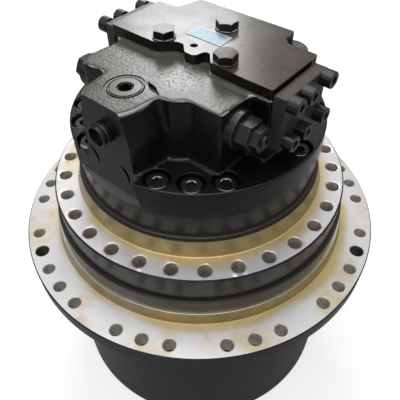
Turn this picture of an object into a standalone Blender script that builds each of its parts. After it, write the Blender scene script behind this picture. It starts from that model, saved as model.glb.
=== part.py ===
# Excavator final drive: a two-stage planetary travel gear with its axial piston motor.
# The drive stands on its end cover, motor up. The turning axis is Z, the spool of the
# travel valve lies along X, and the flat side of the motor casing faces -Y.
# The rotating hub carries the sprocket flange, the ring gear and the end cover. The
# spindle housing carries the frame flange, the motor and the fixed second carrier.

import bpy
import bmesh
from math import acos, atan2, cos, pi, radians, sin, sqrt, tan
from mathutils import Euler, Matrix, Vector

mm = 0.001

# Fits
SEAT_GAP = 0.3 * mm               # between pieces that rest on or are pressed into each other
RUNNING_GAP = 0.6 * mm            # between a round piece and the bore that it turns in
SIDE_GAP = 2.0 * mm               # beside planets, carriers and nut
CUT_OVERRUN = 6.0 * mm            # how far a cutter reaches past the face that it opens
JOIN_OVERLAP = 4.0 * mm           # how far joined shapes reach into each other
WELD_DISTANCE = 0.002 * mm        # points nearer than this are one

# Roundness of turned pieces
ROUND_STEPS = 40
RING_STEPS = 20                   # races, bores and rings inside
SMALL_STEPS = 12
HOLE_STEPS = 8
HEX_STEPS = 6
ARC_STEPS = 4

# Planetary gears, both stages with one module and one ring gear
MODULE = 6.0 * mm
PRESSURE_ANGLE = radians(25)
ADDENDUM_SHARE = 0.8              # of the module, short teeth on both stages
DEDENDUM_SHARE = 1.0              # of the module
TOOTH_THINNING = 0.3 * mm
RING_TEETH = 60
SUN_TEETH = 12
PLANET_TEETH = (RING_TEETH - SUN_TEETH) // 2
PLANET_COUNT = 3
RING_WALL = 28.0 * mm             # behind the roots of the ring gear
PLANET_1_WIDTH = 38.0 * mm
PLANET_2_WIDTH = 58.0 * mm
PIN_1_RADIUS = 20.0 * mm
PIN_2_RADIUS = 24.0 * mm
GEAR_END_GAP = 11.0 * mm          # end cover to first planets
RING_RUNOUT = 16.0 * mm           # ring gear beyond the second planets
CARRIER_1_THICKNESS = 10.0 * mm
CARRIER_2_LOWER_THICKNESS = 11.0 * mm
CARRIER_2_UPPER_THICKNESS = 20.0 * mm
CARRIER_RIM = 18.0 * mm           # of carrier plate outside the pin bores
CARRIER_2_RIM = 14.0 * mm         # of second carrier plate outside the pin bores
POST_RADIUS = 26.0 * mm           # posts between the plates of the second carrier
POST_CIRCLE_SHIFT = 16.0 * mm     # post circle beyond the planet circle
DRIVE_SHAFT_RADIUS = 16.0 * mm    # of the first sun's long shaft
SUN_BORE_GAP = 3.5 * mm           # round that shaft inside the second sun
SUN_2_NECK_WALL = 10.0 * mm
SUN_2_HOLE_GAP = 5.0 * mm

# End cover
COVER_THICKNESS = 40.0 * mm
COVER_STEP_HEIGHT = 14.0 * mm     # the screw heads stand in this step
COVER_STEP_WIDTH = 34.0 * mm
COVER_EDGE = 2.0 * mm
COVER_PLUG_CIRCLE = 125.0 * mm
COVER_PLUG_RADIUS = 13.0 * mm
COVER_PLUG_SINK = 2.0 * mm
COVER_PLUG_LENGTH = 26.0 * mm
COVER_PLUG_ANGLES = (radians(30), radians(150))
THRUST_PAD_RADIUS = 24.0 * mm

# Main bearings and seal
JOURNAL_RADIUS = 120.0 * mm
BEARING_SECTION = 40.0 * mm       # journal to hub bore
BEARING_WIDTH = 32.0 * mm
BEARING_SPACING = 14.0 * mm
RACE_THICKNESS = 11.0 * mm
RACE_TAPER = 2.5 * mm
HUB_RIB_HEIGHT = 8.0 * mm         # rib between the two outer races
NUT_HEIGHT = 18.0 * mm
NUT_REACH = 8.0 * mm              # nut outside the journal
THREAD_STEP = 8.0 * mm            # nut thread below the journal
STUB_WALL = 5.0 * mm              # of the second carrier between its stub bore and the planet pins
SHOULDER_HEIGHT = 11.0 * mm       # bearing shoulder above the journal
FACE_ABOVE_BEARING = 5.7 * mm     # sprocket seat above the upper bearing
SEAL_WIDTH = 23.0 * mm
SEAL_FLOOR_STEP = 3.0 * mm        # floor of the seal bore above the sprocket seat
SEAL_RING_HEIGHT = 17.6 * mm
SEAL_RING_TAPER = 5.0 * mm
SEAL_SHAFT_GAP = 2.0 * mm

# Hub
HUB_NECK_WALL = 17.0 * mm
HUB_NECK_HEIGHT = 21.0 * mm
HUB_BOSS_HEIGHT = 17.0 * mm
HUB_SHOULDER_STEP = 3.0 * mm
HUB_BOSS_DRAFT = 3.0 * mm
SPROCKET_FLANGE_REACH = 34.0 * mm  # flange outside the hub body
SPROCKET_FLANGE_THICKNESS = 23.0 * mm
SPROCKET_EDGE = 1.5 * mm
SPROCKET_UNDERCUT = 7.0 * mm
SPROCKET_ROOT_HEIGHT = 22.0 * mm
HUB_BODY_STEP = 2.0 * mm          # hub body proud of the ring gear
SPROCKET_HOLE_EDGE = 15.5 * mm    # hole circle inside the flange edge
SPROCKET_HOLE_RADIUS = 7.8 * mm
JACK_HOLE_RADIUS = 9.0 * mm
SPROCKET_POSITION_COUNT = 44
SPROCKET_HOLE_START = radians(219.6)
SPROCKET_GROUP_COUNTS = (5, 3, 3, 5, 3, 3, 3, 3, 3, 3)
JACK_HOLE_INDEXES = (3, 19)
HUB_TO_FRAME_GAP = 2.0 * mm

# Frame flange and barrel of the spindle housing
FRAME_FLANGE_SETBACK = 4.6 * mm   # frame flange inside the hub neck
FRAME_FLANGE_THICKNESS = 35.0 * mm
FRAME_EDGE = 1.5 * mm
FRAME_SEAT_WIDTH = 32.4 * mm
FRAME_HOLE_EDGE = 14.2 * mm
FRAME_HOLE_RADIUS = 8.4 * mm
FRAME_HOLE_COUNT = 30
FRAME_BOSS_HEIGHT = 23.0 * mm
FRAME_BOSS_DRAFT = 4.7 * mm
BARREL_STEP = 5.8 * mm
BARREL_HEIGHT = 35.0 * mm
BARREL_WALL = 34.5 * mm

# Motor inside the spindle housing
JOURNAL_WALL = 28.0 * mm
BRAKE_BORE_DEPTH = 57.7 * mm
BRAKE_STEP = 13.0 * mm
BRAKE_STACK_DEPTH = 66.3 * mm     # joint plane down to the shoulder under the discs
BRAKE_DISC_THICKNESS = 4.0 * mm
BRAKE_DISC_EDGE_GAP = 6.0 * mm
BRAKE_PLATE_GAP = 6.0 * mm
BRAKE_PISTON_TOP_GAP = 7.0 * mm
BRAKE_PISTON_INNER_GAP = 10.0 * mm
BRAKE_SPRING_THICKNESS = 2.6 * mm
BRAKE_SPRING_INSET = 4.0 * mm
VALVE_PLATE_THICKNESS = 7.2 * mm
VALVE_PLATE_SETBACK = 2.0 * mm
KIDNEY_WIDTH = 10.0 * mm
KIDNEY_CIRCLE_SHARE = 0.72        # of the cylinder block's radius
KIDNEY_SPAN = radians(120)
BLOCK_SIDE_GAP = 20.0 * mm         # cylinder block to the wall of the motor chamber
BLOCK_LENGTH = 85.0 * mm
PISTON_COUNT = 9
PISTON_RADIUS = 10.0 * mm
PISTON_CIRCLE_SHARE = 0.72        # of the cylinder block's radius
PISTON_REACH = 7.0 * mm
SWASH_CLEARANCE = 12.0 * mm
SWASH_HEIGHT = 28.0 * mm          # floor to the middle of the inclined face
PISTON_SPACE = 44.5 * mm          # middle of the inclined face to the cylinder block
SWASH_HOLE_RADIUS = 36.0 * mm
SWASH_ANGLE = radians(15)
SWASH_RELIEF_ANGLE = radians(8.5)
SHOE_RADIUS = 11.0 * mm
SHOE_HEIGHT = 10.0 * mm
RETAINER_THICKNESS = 6.0 * mm
RETAINER_RIM = 16.0 * mm
SHAFT_RADIUS = 25.0 * mm
SHAFT_TOP_RADIUS = 20.0 * mm
SHAFT_TOP_REACH = 19.0 * mm
SHAFT_BELOW_FLOOR = 53.0 * mm
SHAFT_SOCKET_DEPTH = 30.0 * mm
SHAFT_HOLE_GAP = 5.0 * mm
SHAFT_BEARING_WALL = 17.0 * mm
SHAFT_BEARING_HEIGHT = 22.0 * mm
SHAFT_SEAL_HEIGHT = 9.0 * mm
CONTROL_PISTON_RADIUS = 9.0 * mm
CONTROL_PISTON_LENGTH = 20.0 * mm
CONTROL_PISTON_DOME = 1.6 * mm
CONTROL_PISTON_INSET = 20.0 * mm   # inside the swash plate's rim

# Rear casing
CASING_STEP = 3.5 * mm            # casing flange proud of the barrel
CASING_FLANGE_THICKNESS = 37.0 * mm
CASING_EDGE = 1.5 * mm
CASING_SCREW_EDGE = 17.5 * mm
CASING_SCREW_SINK = 12.0 * mm
CASING_SCREW_WELL_RADIUS = 14.5 * mm
CASING_SCREW_ANGLES = (3.4, 38, 53, 68, 112, 127, 142, 176.6, 218, 233, 248, 292, 307, 322)
VALVE_BLOCK_HEIGHT = 74.0 * mm
FLAT_SINK = 15.0 * mm             # depth of the flat side inside the casing flange
FLAT_LEFT = -76.0 * mm
FLAT_RIGHT = 38.0 * mm            # beside the port boss
FLAT_FOOT_RIGHT = 48.0 * mm       # at the joint plane
BODY_LEFT = -95.0 * mm            # valve body ends and sides, from the axis
BODY_RIGHT = 123.0 * mm
BODY_FRONT = -37.0 * mm
BODY_SIDE = 40.0 * mm
BODY_BACK = 76.0 * mm
BACK_LEFT = -57.0 * mm
BACK_RIGHT = 77.0 * mm
NOTCH_FRONT = 47.5 * mm
BACK_SHOULDER = 9.0 * mm
BLOCK_LEFT = -84.0 * mm           # brake valve block in front of the valve body
BLOCK_RIGHT = 97.0 * mm
BLOCK_FRONT = -80.0 * mm
BLOCK_CORNER = -91.0 * mm
BLOCK_WAIST = 46.0 * mm           # where the block's front steps back from the port
BLOCK_WAIST_DEPTH = 14.0 * mm
BLOCK_WAIST_STEP = 14.0 * mm
NOTCH_BOSS = (88.0 * mm, 62.0 * mm)
NOTCH_BOSS_RADIUS = 20.0 * mm
NOTCH_BOSS_SINK = 8.0 * mm

# Front port in its round boss
PORT_X = -6.0 * mm
PORT_BEHIND_FLAT = 36.0 * mm
PORT_BOSS_HALF = 36.0 * mm        # half width at the top
PORT_BOSS_REACH = 4.0 * mm        # full outline in front of the flat, before that is cut
PORT_BOSS_CORNER = 20.0 * mm
PORT_BOSS_DRAFT = 7.0 * mm        # how much wider the boss is at its waist
PORT_BOSS_WAIST = 38.0 * mm       # below the top, where the slanted walls end
PORT_FACE_SINK = 3.0 * mm         # machined port face below the cast top
PORT_PLUG_RADIUS = 19.0 * mm
PORT_PLUG_LENGTH = 22.0 * mm
PORT_SOCKET_RADIUS = 8.0 * mm
PORT_SOCKET_DEPTH = 10.0 * mm
PORT_FACE_RADIUS = 34.0 * mm
PORT_RIM = 0.8 * mm               # cast rim of the boss above the machined face

# Plugs and valves in the casing walls
SIDE_PLUG_PLACE = (-5.0 * mm, 39.0 * mm)      # X, and height above the casing flange
SIDE_PLUG_RADIUS = 12.0 * mm
SIDE_PLUG_STAND = 11.0 * mm
SIDE_PLUG_DEPTH = 14.0 * mm
SIDE_PLUG_THREAD_RADIUS = 9.0 * mm
RELIEF_SIDE = -59.5 * mm
RELIEF_HEIGHT = 47.0 * mm         # above the casing flange
RELIEF_BODY_RADIUS = 15.0 * mm
RELIEF_BODY_LENGTH = 40.0 * mm
RELIEF_COLLAR_RADIUS = 21.5 * mm
RELIEF_COLLAR_HEIGHT = 9.0 * mm
RELIEF_HEX_RADIUS = 19.0 * mm
RELIEF_HEX_HEIGHT = 13.0 * mm
RELIEF_NUT_RADIUS = 13.0 * mm
RELIEF_NUT_HEIGHT = 11.0 * mm
CHECK_SIDE = -74.0 * mm
CHECK_HEIGHT = 44.0 * mm          # above the casing flange
CHECK_BODY_RADIUS = 11.0 * mm
CHECK_BODY_LENGTH = 30.0 * mm
CHECK_COLLAR_RADIUS = 17.0 * mm
CHECK_COLLAR_HEIGHT = 9.0 * mm
CHECK_HEX_RADIUS = 14.0 * mm
CHECK_HEX_HEIGHT = 12.0 * mm
BACK_PORT_X = (-25.0 * mm, 45.0 * mm)
BACK_PORT_HEIGHT = 36.0 * mm
BACK_PORT_RADIUS = 15.0 * mm
BACK_PLUG_HEAD_RADIUS = 19.0 * mm
BACK_PLUG_HEAD = 8.0 * mm
BACK_PLUG_DEPTH = 18.0 * mm

# Travel valve spool and the end covers of its bore
SPOOL_SIDE = 3.0 * mm
SPOOL_HEIGHT = 56.0 * mm          # above the casing flange
SPOOL_BORE_RADIUS = 14.0 * mm
SPOOL_LENGTH = 190.0 * mm
SPOOL_GROOVE_DEPTH = 4.0 * mm
SPOOL_EDGE_SHARES = (-0.75, -0.45, -0.2, 0.2, 0.45, 0.75)
END_COVER_PLATE = 15.0 * mm
END_COVER_FOOT = 20.0 * mm        # above the casing flange
END_COVER_POCKET = 8.0 * mm
END_COVER_EDGE = 2.0 * mm

# Manifold cover on top
MANIFOLD_THICKNESS = 13.0 * mm
MANIFOLD_GAP_RIGHT = 1.0 * mm
MANIFOLD_FRONT = -37.0 * mm
MANIFOLD_WAIST = 5.0 * mm         # dips of the front edge beside the gauge boss
BOLT_PLACES = ((-27.5 * mm, -24.0 * mm), (13.5 * mm, 34.5 * mm), (56.0 * mm, -23.0 * mm))
GAUGE_PLACE = (10.0 * mm, -18.0 * mm)
GAUGE_BOSS_RADIUS = 12.0 * mm
GAUGE_RADIUS = 4.0 * mm
BOLT_RADIUS = 8.0 * mm
BOLT_HEAD_RADIUS = 13.8 * mm
BOLT_HEAD_HEIGHT = 10.0 * mm
BOLT_DEPTH = 24.0 * mm

# Heights of the reduction gear, from the standing face up
RING_BOTTOM = COVER_THICKNESS + SEAT_GAP
PLANET_1_BOTTOM = COVER_THICKNESS + GEAR_END_GAP
PLANET_1_TOP = PLANET_1_BOTTOM + PLANET_1_WIDTH
CARRIER_1_BOTTOM = PLANET_1_TOP + SIDE_GAP
CARRIER_1_TOP = CARRIER_1_BOTTOM + CARRIER_1_THICKNESS
CARRIER_2_BOTTOM = CARRIER_1_TOP + SIDE_GAP
CARRIER_2_LOWER_TOP = CARRIER_2_BOTTOM + CARRIER_2_LOWER_THICKNESS
PLANET_2_BOTTOM = CARRIER_2_LOWER_TOP + SIDE_GAP
PLANET_2_TOP = PLANET_2_BOTTOM + PLANET_2_WIDTH
CARRIER_2_UPPER_BOTTOM = PLANET_2_TOP + SIDE_GAP
CARRIER_2_TOP = CARRIER_2_UPPER_BOTTOM + CARRIER_2_UPPER_THICKNESS
RING_TOP = PLANET_2_TOP + RING_RUNOUT
HUB_BOTTOM = RING_TOP + SEAT_GAP
NUT_BOTTOM = CARRIER_2_TOP + SIDE_GAP
NUT_TOP = NUT_BOTTOM + NUT_HEIGHT
LOWER_BEARING = NUT_TOP + SEAT_GAP
LOWER_BEARING_TOP = LOWER_BEARING + BEARING_WIDTH
UPPER_BEARING = LOWER_BEARING_TOP + BEARING_SPACING
UPPER_BEARING_TOP = UPPER_BEARING + BEARING_WIDTH
SHOULDER_BOTTOM = UPPER_BEARING_TOP + SEAT_GAP
SPROCKET_FACE = UPPER_BEARING_TOP + FACE_ABOVE_BEARING
SEAL_FLOOR = SPROCKET_FACE + SEAL_FLOOR_STEP
NECK_FOOT = SPROCKET_FACE + HUB_BOSS_HEIGHT
NECK_TOP = NECK_FOOT + HUB_NECK_HEIGHT
FRAME_BOTTOM = NECK_TOP + HUB_TO_FRAME_GAP
FRAME_FACE = FRAME_BOTTOM + FRAME_FLANGE_THICKNESS
BARREL_FOOT = FRAME_FACE + FRAME_BOSS_HEIGHT
JOINT = BARREL_FOOT + BARREL_HEIGHT

# Heights of the motor, from the joint plane down, and of the casing, from it up
BRAKE_SHOULDER = JOINT - BRAKE_STACK_DEPTH
BRAKE_BORE_FOOT = JOINT - BRAKE_BORE_DEPTH
CASING_BOTTOM = JOINT + SEAT_GAP
VALVE_PLATE_TOP = CASING_BOTTOM - SEAT_GAP
BLOCK_TOP = VALVE_PLATE_TOP - VALVE_PLATE_THICKNESS - SEAT_GAP
BLOCK_BOTTOM = BLOCK_TOP - BLOCK_LENGTH
SWASH_MIDDLE = BLOCK_BOTTOM - PISTON_SPACE
SWASH_FLOOR = SWASH_MIDDLE - SWASH_HEIGHT
CASING_FACE = JOINT + CASING_FLANGE_THICKNESS
BLOCK_FACE = CASING_FACE + VALVE_BLOCK_HEIGHT
MANIFOLD_BOTTOM = BLOCK_FACE + SEAT_GAP
MANIFOLD_TOP = MANIFOLD_BOTTOM + MANIFOLD_THICKNESS

# Radii that follow from the gears, the bearings and each other
RING_PITCH = MODULE * RING_TEETH / 2
RING_ROOT = RING_PITCH + MODULE * DEDENDUM_SHARE
RING_OUTER = RING_ROOT + RING_WALL
PLANET_CIRCLE = MODULE * (SUN_TEETH + PLANET_TEETH) / 2
SUN_TIP = MODULE * (SUN_TEETH / 2 + ADDENDUM_SHARE)
HUB_BORE = JOURNAL_RADIUS + BEARING_SECTION
SEAL_SHAFT = HUB_BORE - SEAL_SHAFT_GAP
SEAL_BORE = HUB_BORE + SEAL_WIDTH
NECK_RADIUS = SEAL_BORE + HUB_NECK_WALL
SHOULDER_RADIUS = NECK_RADIUS + HUB_SHOULDER_STEP
SPROCKET_PILOT = SHOULDER_RADIUS + HUB_BOSS_DRAFT
HUB_BODY_RADIUS = RING_OUTER + HUB_BODY_STEP
SPROCKET_RADIUS = HUB_BODY_RADIUS + SPROCKET_FLANGE_REACH
FRAME_RADIUS = NECK_RADIUS - FRAME_FLANGE_SETBACK
FRAME_PILOT = FRAME_RADIUS - FRAME_SEAT_WIDTH
FRAME_BOSS_RADIUS = FRAME_PILOT - FRAME_BOSS_DRAFT
BARREL_RADIUS = FRAME_BOSS_RADIUS - BARREL_STEP
BRAKE_BORE = BARREL_RADIUS - BARREL_WALL
BRAKE_STACK_BORE = BRAKE_BORE - BRAKE_STEP
MOTOR_BORE = JOURNAL_RADIUS - JOURNAL_WALL
BLOCK_RADIUS = MOTOR_BORE - BLOCK_SIDE_GAP
SWASH_RADIUS = MOTOR_BORE - SWASH_CLEARANCE
CONTROL_PISTON_OFFSET = SWASH_RADIUS - CONTROL_PISTON_INSET
STUB_RADIUS = PLANET_CIRCLE - PIN_2_RADIUS - STUB_WALL
SHAFT_HOLE = SHAFT_RADIUS + SHAFT_HOLE_GAP
SHAFT_BEARING_RADIUS = SHAFT_RADIUS + SHAFT_BEARING_WALL
CASING_RADIUS = BARREL_RADIUS + CASING_STEP
FLAT_DISTANCE = CASING_RADIUS - FLAT_SINK
PORT_PLACE = (PORT_X, PORT_BEHIND_FLAT - FLAT_DISTANCE)
RELIEF_Z = CASING_FACE + RELIEF_HEIGHT
CHECK_Z = CASING_FACE + CHECK_HEIGHT
SPOOL_Z = CASING_FACE + SPOOL_HEIGHT

FINISHES = {
    "machined_steel": ((0.55, 0.55, 0.54), 0.3, 1.0),
    "bearing_steel": ((0.62, 0.62, 0.63), 0.2, 1.0),
    "gear_steel": ((0.42, 0.41, 0.40), 0.35, 1.0),
    "cast_iron": ((0.22, 0.22, 0.22), 0.55, 0.8),
    "black_paint": ((0.018, 0.016, 0.015), 0.25, 0.0),
    "black_oxide": ((0.03, 0.03, 0.035), 0.3, 0.8),
    "friction_lining": ((0.2, 0.13, 0.08), 0.8, 0.0),
}


def new_collection(name):
    collection = bpy.data.collections.new(name)
    bpy.context.scene.collection.children.link(collection)
    return collection


def clear_scene():
    for old in list(bpy.data.objects):
        bpy.data.objects.remove(old, do_unlink=True)


clear_scene()
DRIVE = new_collection("excavator_final_drive")
TOOLS = new_collection("cutters_and_joined_shapes")


def material(name, finish):
    colour, roughness, metallic = FINISHES[finish]
    made = bpy.data.materials.new(name)
    made.use_nodes = True
    shader = made.node_tree.nodes["Principled BSDF"]
    shader.inputs["Base Color"].default_value = (*colour, 1)
    shader.inputs["Roughness"].default_value = roughness
    shader.inputs["Metallic"].default_value = metallic
    return made


def world_place(thing):
    place = Vector(thing.location)
    while thing.parent:
        thing = thing.parent
        place += thing.location
    return place


def pivot(name, place, parent=None):
    """Empty on a joint's axis, which the pieces of one moving body hang from."""
    empty = bpy.data.objects.new(name, None)
    DRIVE.objects.link(empty)
    empty.parent = parent
    empty.location = Vector(place) - (world_place(parent) if parent else Vector())
    return empty


def add_piece(name, mesh, finish, parent, place):
    """Put a mesh into the model as the named piece, with its own material."""
    piece = bpy.data.objects.new(name, mesh)
    DRIVE.objects.link(piece)
    mesh.name = name
    mesh.materials.clear()
    mesh.materials.append(material(name, finish))
    mesh.shade_smooth()
    mesh.set_sharp_from_angle(angle=radians(35))
    piece.parent = parent
    piece.location = Vector(place) - world_place(parent)
    return piece


def add_tool(name, mesh, place=(0, 0, 0)):
    """A cutter or a shape to be joined: hidden, and drawn as wires."""
    tool = bpy.data.objects.new(name, mesh)
    TOOLS.objects.link(tool)
    tool.location = place
    tool.hide_render = True
    tool.display_type = "WIRE"
    return tool


def combine(piece, tool, operation):
    modifier = piece.modifiers.new(tool.name, "BOOLEAN")
    modifier.operation = operation
    modifier.solver = "EXACT"
    modifier.object = tool


def cut(piece, tool):
    combine(piece, tool, "DIFFERENCE")


def join(piece, tool):
    combine(piece, tool, "UNION")


def welded(maker):
    """Mesh of a helper object's evaluated shape, with its loose seams welded."""
    bpy.context.view_layer.update()
    seen = maker.evaluated_get(bpy.context.evaluated_depsgraph_get())
    mesh = bpy.data.meshes.new_from_object(seen)
    bpy.data.objects.remove(maker, do_unlink=True)
    shape = bmesh.new()
    shape.from_mesh(mesh)
    bmesh.ops.remove_doubles(shape, verts=shape.verts, dist=WELD_DISTANCE)
    bmesh.ops.recalc_face_normals(shape, faces=shape.faces)
    shape.to_mesh(mesh)
    shape.free()
    return mesh


def turned(profile, steps, base=0.0, ring=True):
    """Turn (radius, height) points about Z. A ring's profile is closed; any other ends on Z."""
    points = [(radius, 0, height - base) for radius, height in profile]
    edges = [(i, i + 1) for i in range(len(points) - 1)]
    if ring:
        edges.append((len(points) - 1, 0))
    mesh = bpy.data.meshes.new("profile")
    mesh.from_pydata(points, edges, [])
    maker = bpy.data.objects.new("profile", mesh)
    TOOLS.objects.link(maker)
    screw = maker.modifiers.new("turn", "SCREW")
    screw.angle = 2 * pi
    screw.steps = screw.render_steps = steps
    screw.use_merge_vertices = True
    screw.merge_threshold = WELD_DISTANCE
    return welded(maker)


def sleeve(inner, outer, height, steps):
    """Plain ring of rectangular section standing on its origin."""
    profile = [(outer, height), (outer, 0), (inner, 0), (inner, height)]
    return turned(profile, steps)


def prism(loops, height):
    """Flat outline with its holes, drawn up from Z = 0 to the height."""
    curve = bpy.data.curves.new("outline", "CURVE")
    curve.dimensions = "2D"
    curve.fill_mode = "BOTH"
    curve.extrude = height / 2
    for loop in loops:
        spline = curve.splines.new("POLY")
        spline.points.add(len(loop) - 1)
        for point, (x, y) in zip(spline.points, loop):
            point.co = (x, y, 0, 1)
        spline.use_cyclic_u = True
    maker = bpy.data.objects.new("outline", curve)
    TOOLS.objects.link(maker)
    mesh = welded(maker)
    mesh.transform(Matrix.Translation((0, 0, height / 2)))
    return mesh


def round_rods(places, radius, height, steps=HOLE_STEPS):
    """Upright round rods from Z = 0, one at each (x, y) place, in one mesh."""
    shape = bmesh.new()
    for x, y in places:
        bmesh.ops.create_cone(
            shape, cap_ends=True, segments=steps, radius1=radius, radius2=radius,
            depth=height, matrix=Matrix.Translation((x, y, height / 2)))
    mesh = bpy.data.meshes.new("rods")
    shape.to_mesh(mesh)
    shape.free()
    return mesh


def box(low, high):
    shape = bmesh.new()
    size = Vector(high) - Vector(low)
    middle = (Vector(high) + Vector(low)) / 2
    bmesh.ops.create_cube(shape, size=1, matrix=Matrix.Translation(middle) @ Matrix.Diagonal((*size, 1)))
    mesh = bpy.data.meshes.new("box")
    shape.to_mesh(mesh)
    shape.free()
    return mesh


def bevelled_box(low, high, width):
    maker = bpy.data.objects.new("box", box(low, high))
    TOOLS.objects.link(maker)
    bevel = maker.modifiers.new("edge", "BEVEL")
    bevel.width = width
    bevel.segments = 1
    return welded(maker)


def round_clear_of(radius, steps):
    """Radius of a bore's corners whose flats still clear a shaft of the given radius."""
    return radius / cos(pi / steps)


def round_within(radius, steps):
    """Radius that turns freely inside a bore whose corners lie at the given radius."""
    return radius * cos(pi / steps)


def half_turned(mesh, steps):
    """Turn a round mesh by half a facet, so that its corners meet the flats of its neighbours."""
    mesh.transform(Matrix.Rotation(pi / steps, 4, "Z"))
    return mesh


def circle(radius, steps, centre=(0, 0), start=0.0):
    turns = [start + 2 * pi * i / steps for i in range(steps)]
    return [(centre[0] + radius * cos(a), centre[1] + radius * sin(a)) for a in turns]


def arc(centre, radius, start, end, steps):
    turns = [start + (end - start) * i / steps for i in range(steps + 1)]
    return [(centre[0] + radius * cos(a), centre[1] + radius * sin(a)) for a in turns]


def polar(radius, angle):
    return radius * cos(angle), radius * sin(angle)


def laid_along_x(mesh, direction=1):
    """Turn an upright mesh so that its Z runs along +X or -X."""
    mesh.transform(Matrix.Rotation(direction * pi / 2, 4, "Y"))
    return mesh


def laid_along_y(mesh, direction=1):
    """Turn an upright mesh so that its Z runs along +Y or -Y."""
    mesh.transform(Matrix.Rotation(-direction * pi / 2, 4, "X"))
    return mesh


def involute(angle):
    return tan(angle) - angle


def tooth_half_angle(radius, pitch_radius, thickness):
    """Half the angle of an involute tooth at a radius, for its thickness on the pitch circle."""
    base = pitch_radius * cos(PRESSURE_ANGLE)
    pressure = acos(min(base / radius, 1))
    return thickness / (2 * pitch_radius) + involute(PRESSURE_ANGLE) - involute(pressure)


def gear_loop(teeth, inner, outer, thickness, start):
    """Outline of a toothed wheel, or of a ring gear's hollow when inner is its tooth tips."""
    pitch_radius = MODULE * teeth / 2
    at_inner = tooth_half_angle(inner, pitch_radius, thickness)
    at_outer = tooth_half_angle(outer, pitch_radius, thickness)
    loop = []
    for tooth in range(teeth):
        middle = start + 2 * pi * tooth / teeth
        loop.append(polar(inner, middle - at_inner))
        loop.append(polar(outer, middle - at_outer))
        loop.append(polar(outer, middle + at_outer))
        loop.append(polar(inner, middle + at_inner))
    return loop


def wheel_loop(teeth, start):
    """Sun or planet: teeth that stand out, thinned for backlash."""
    pitch_radius = MODULE * teeth / 2
    root = pitch_radius - MODULE * DEDENDUM_SHARE
    tip = pitch_radius + MODULE * ADDENDUM_SHARE
    return gear_loop(teeth, root, tip, MODULE * pi / 2 - TOOTH_THINNING, start)


def planet_angle(number):
    return 2 * pi * number / PLANET_COUNT


def planet_start(number):
    """Angle of one tooth of a planet that meshes with a sun whose tooth points at +X."""
    place = planet_angle(number)
    return place + pi + place * SUN_TEETH / PLANET_TEETH + pi / PLANET_TEETH


def planet_places():
    return [polar(PLANET_CIRCLE, planet_angle(i)) for i in range(PLANET_COUNT)]


def add_end_cover(hub_axis):
    step = RING_OUTER - COVER_STEP_WIDTH
    profile = [(0, COVER_THICKNESS), (RING_OUTER, COVER_THICKNESS),
               (RING_OUTER, COVER_STEP_HEIGHT + COVER_EDGE),
               (RING_OUTER - COVER_EDGE, COVER_STEP_HEIGHT), (step, COVER_STEP_HEIGHT),
               (step - COVER_EDGE, 0),
               (0, 0)]
    cover = add_piece("end_cover", turned(profile, ROUND_STEPS, ring=False), "cast_iron", hub_axis, (0, 0, 0))
    places = [polar(COVER_PLUG_CIRCLE, angle) for angle in COVER_PLUG_ANGLES]
    hole_depth = COVER_PLUG_LENGTH + COVER_PLUG_SINK + CUT_OVERRUN
    holes = round_rods(places, COVER_PLUG_RADIUS, hole_depth, SMALL_STEPS)
    cut(cover, add_tool("cover_plug_holes", holes, (0, 0, -CUT_OVERRUN)))
    for name, (x, y) in zip(("drain_plug", "level_plug"), places):
        add_socket_plug(name, COVER_PLUG_RADIUS - SEAT_GAP, COVER_PLUG_LENGTH - SEAT_GAP, hub_axis,
                        (x, y, COVER_PLUG_SINK))
    pad_top = COVER_THICKNESS + GEAR_END_GAP - SIDE_GAP
    pad_foot = COVER_THICKNESS + SEAT_GAP
    pad = round_rods([(0, 0)], THRUST_PAD_RADIUS, pad_top - SEAT_GAP - pad_foot, SMALL_STEPS)
    add_piece("thrust_pad", pad, "bearing_steel", hub_axis, (0, 0, pad_foot))


def add_socket_plug(name, radius, length, parent, place):
    """Screwed plug whose hexagon socket opens at its lower end."""
    plug = add_piece(name, round_rods([(0, 0)], radius, length, SMALL_STEPS), "black_oxide", parent, place)
    socket = round_rods([(0, 0)], radius / 2, CUT_OVERRUN + length / 3, HEX_STEPS)
    cut(plug, add_tool(name + "_socket", socket, (place[0], place[1], place[2] - CUT_OVERRUN)))


def add_ring_gear(hub_axis):
    tip = RING_PITCH - MODULE * ADDENDUM_SHARE
    first = planet_start(0) * PLANET_TEETH / RING_TEETH
    hollow = gear_loop(RING_TEETH, tip, RING_ROOT, MODULE * pi / 2 + TOOTH_THINNING, first)
    ring = prism([circle(RING_OUTER, ROUND_STEPS), hollow], RING_TOP - RING_BOTTOM)
    add_piece("ring_gear", ring, "gear_steel", hub_axis, (0, 0, RING_BOTTOM))


def sprocket_hole_places():
    """Places of the plain holes and of the jack holes, in groups with one place left free between."""
    circle_radius = SPROCKET_RADIUS - SPROCKET_HOLE_EDGE
    plain, jack = [], []
    step = 2
    for count in SPROCKET_GROUP_COUNTS:
        for _ in range(count):
            angle = SPROCKET_HOLE_START + 2 * pi * step / SPROCKET_POSITION_COUNT
            (jack if step in JACK_HOLE_INDEXES else plain).append(polar(circle_radius, angle))
            step += 1
        step += 1
    return plain, jack


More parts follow.
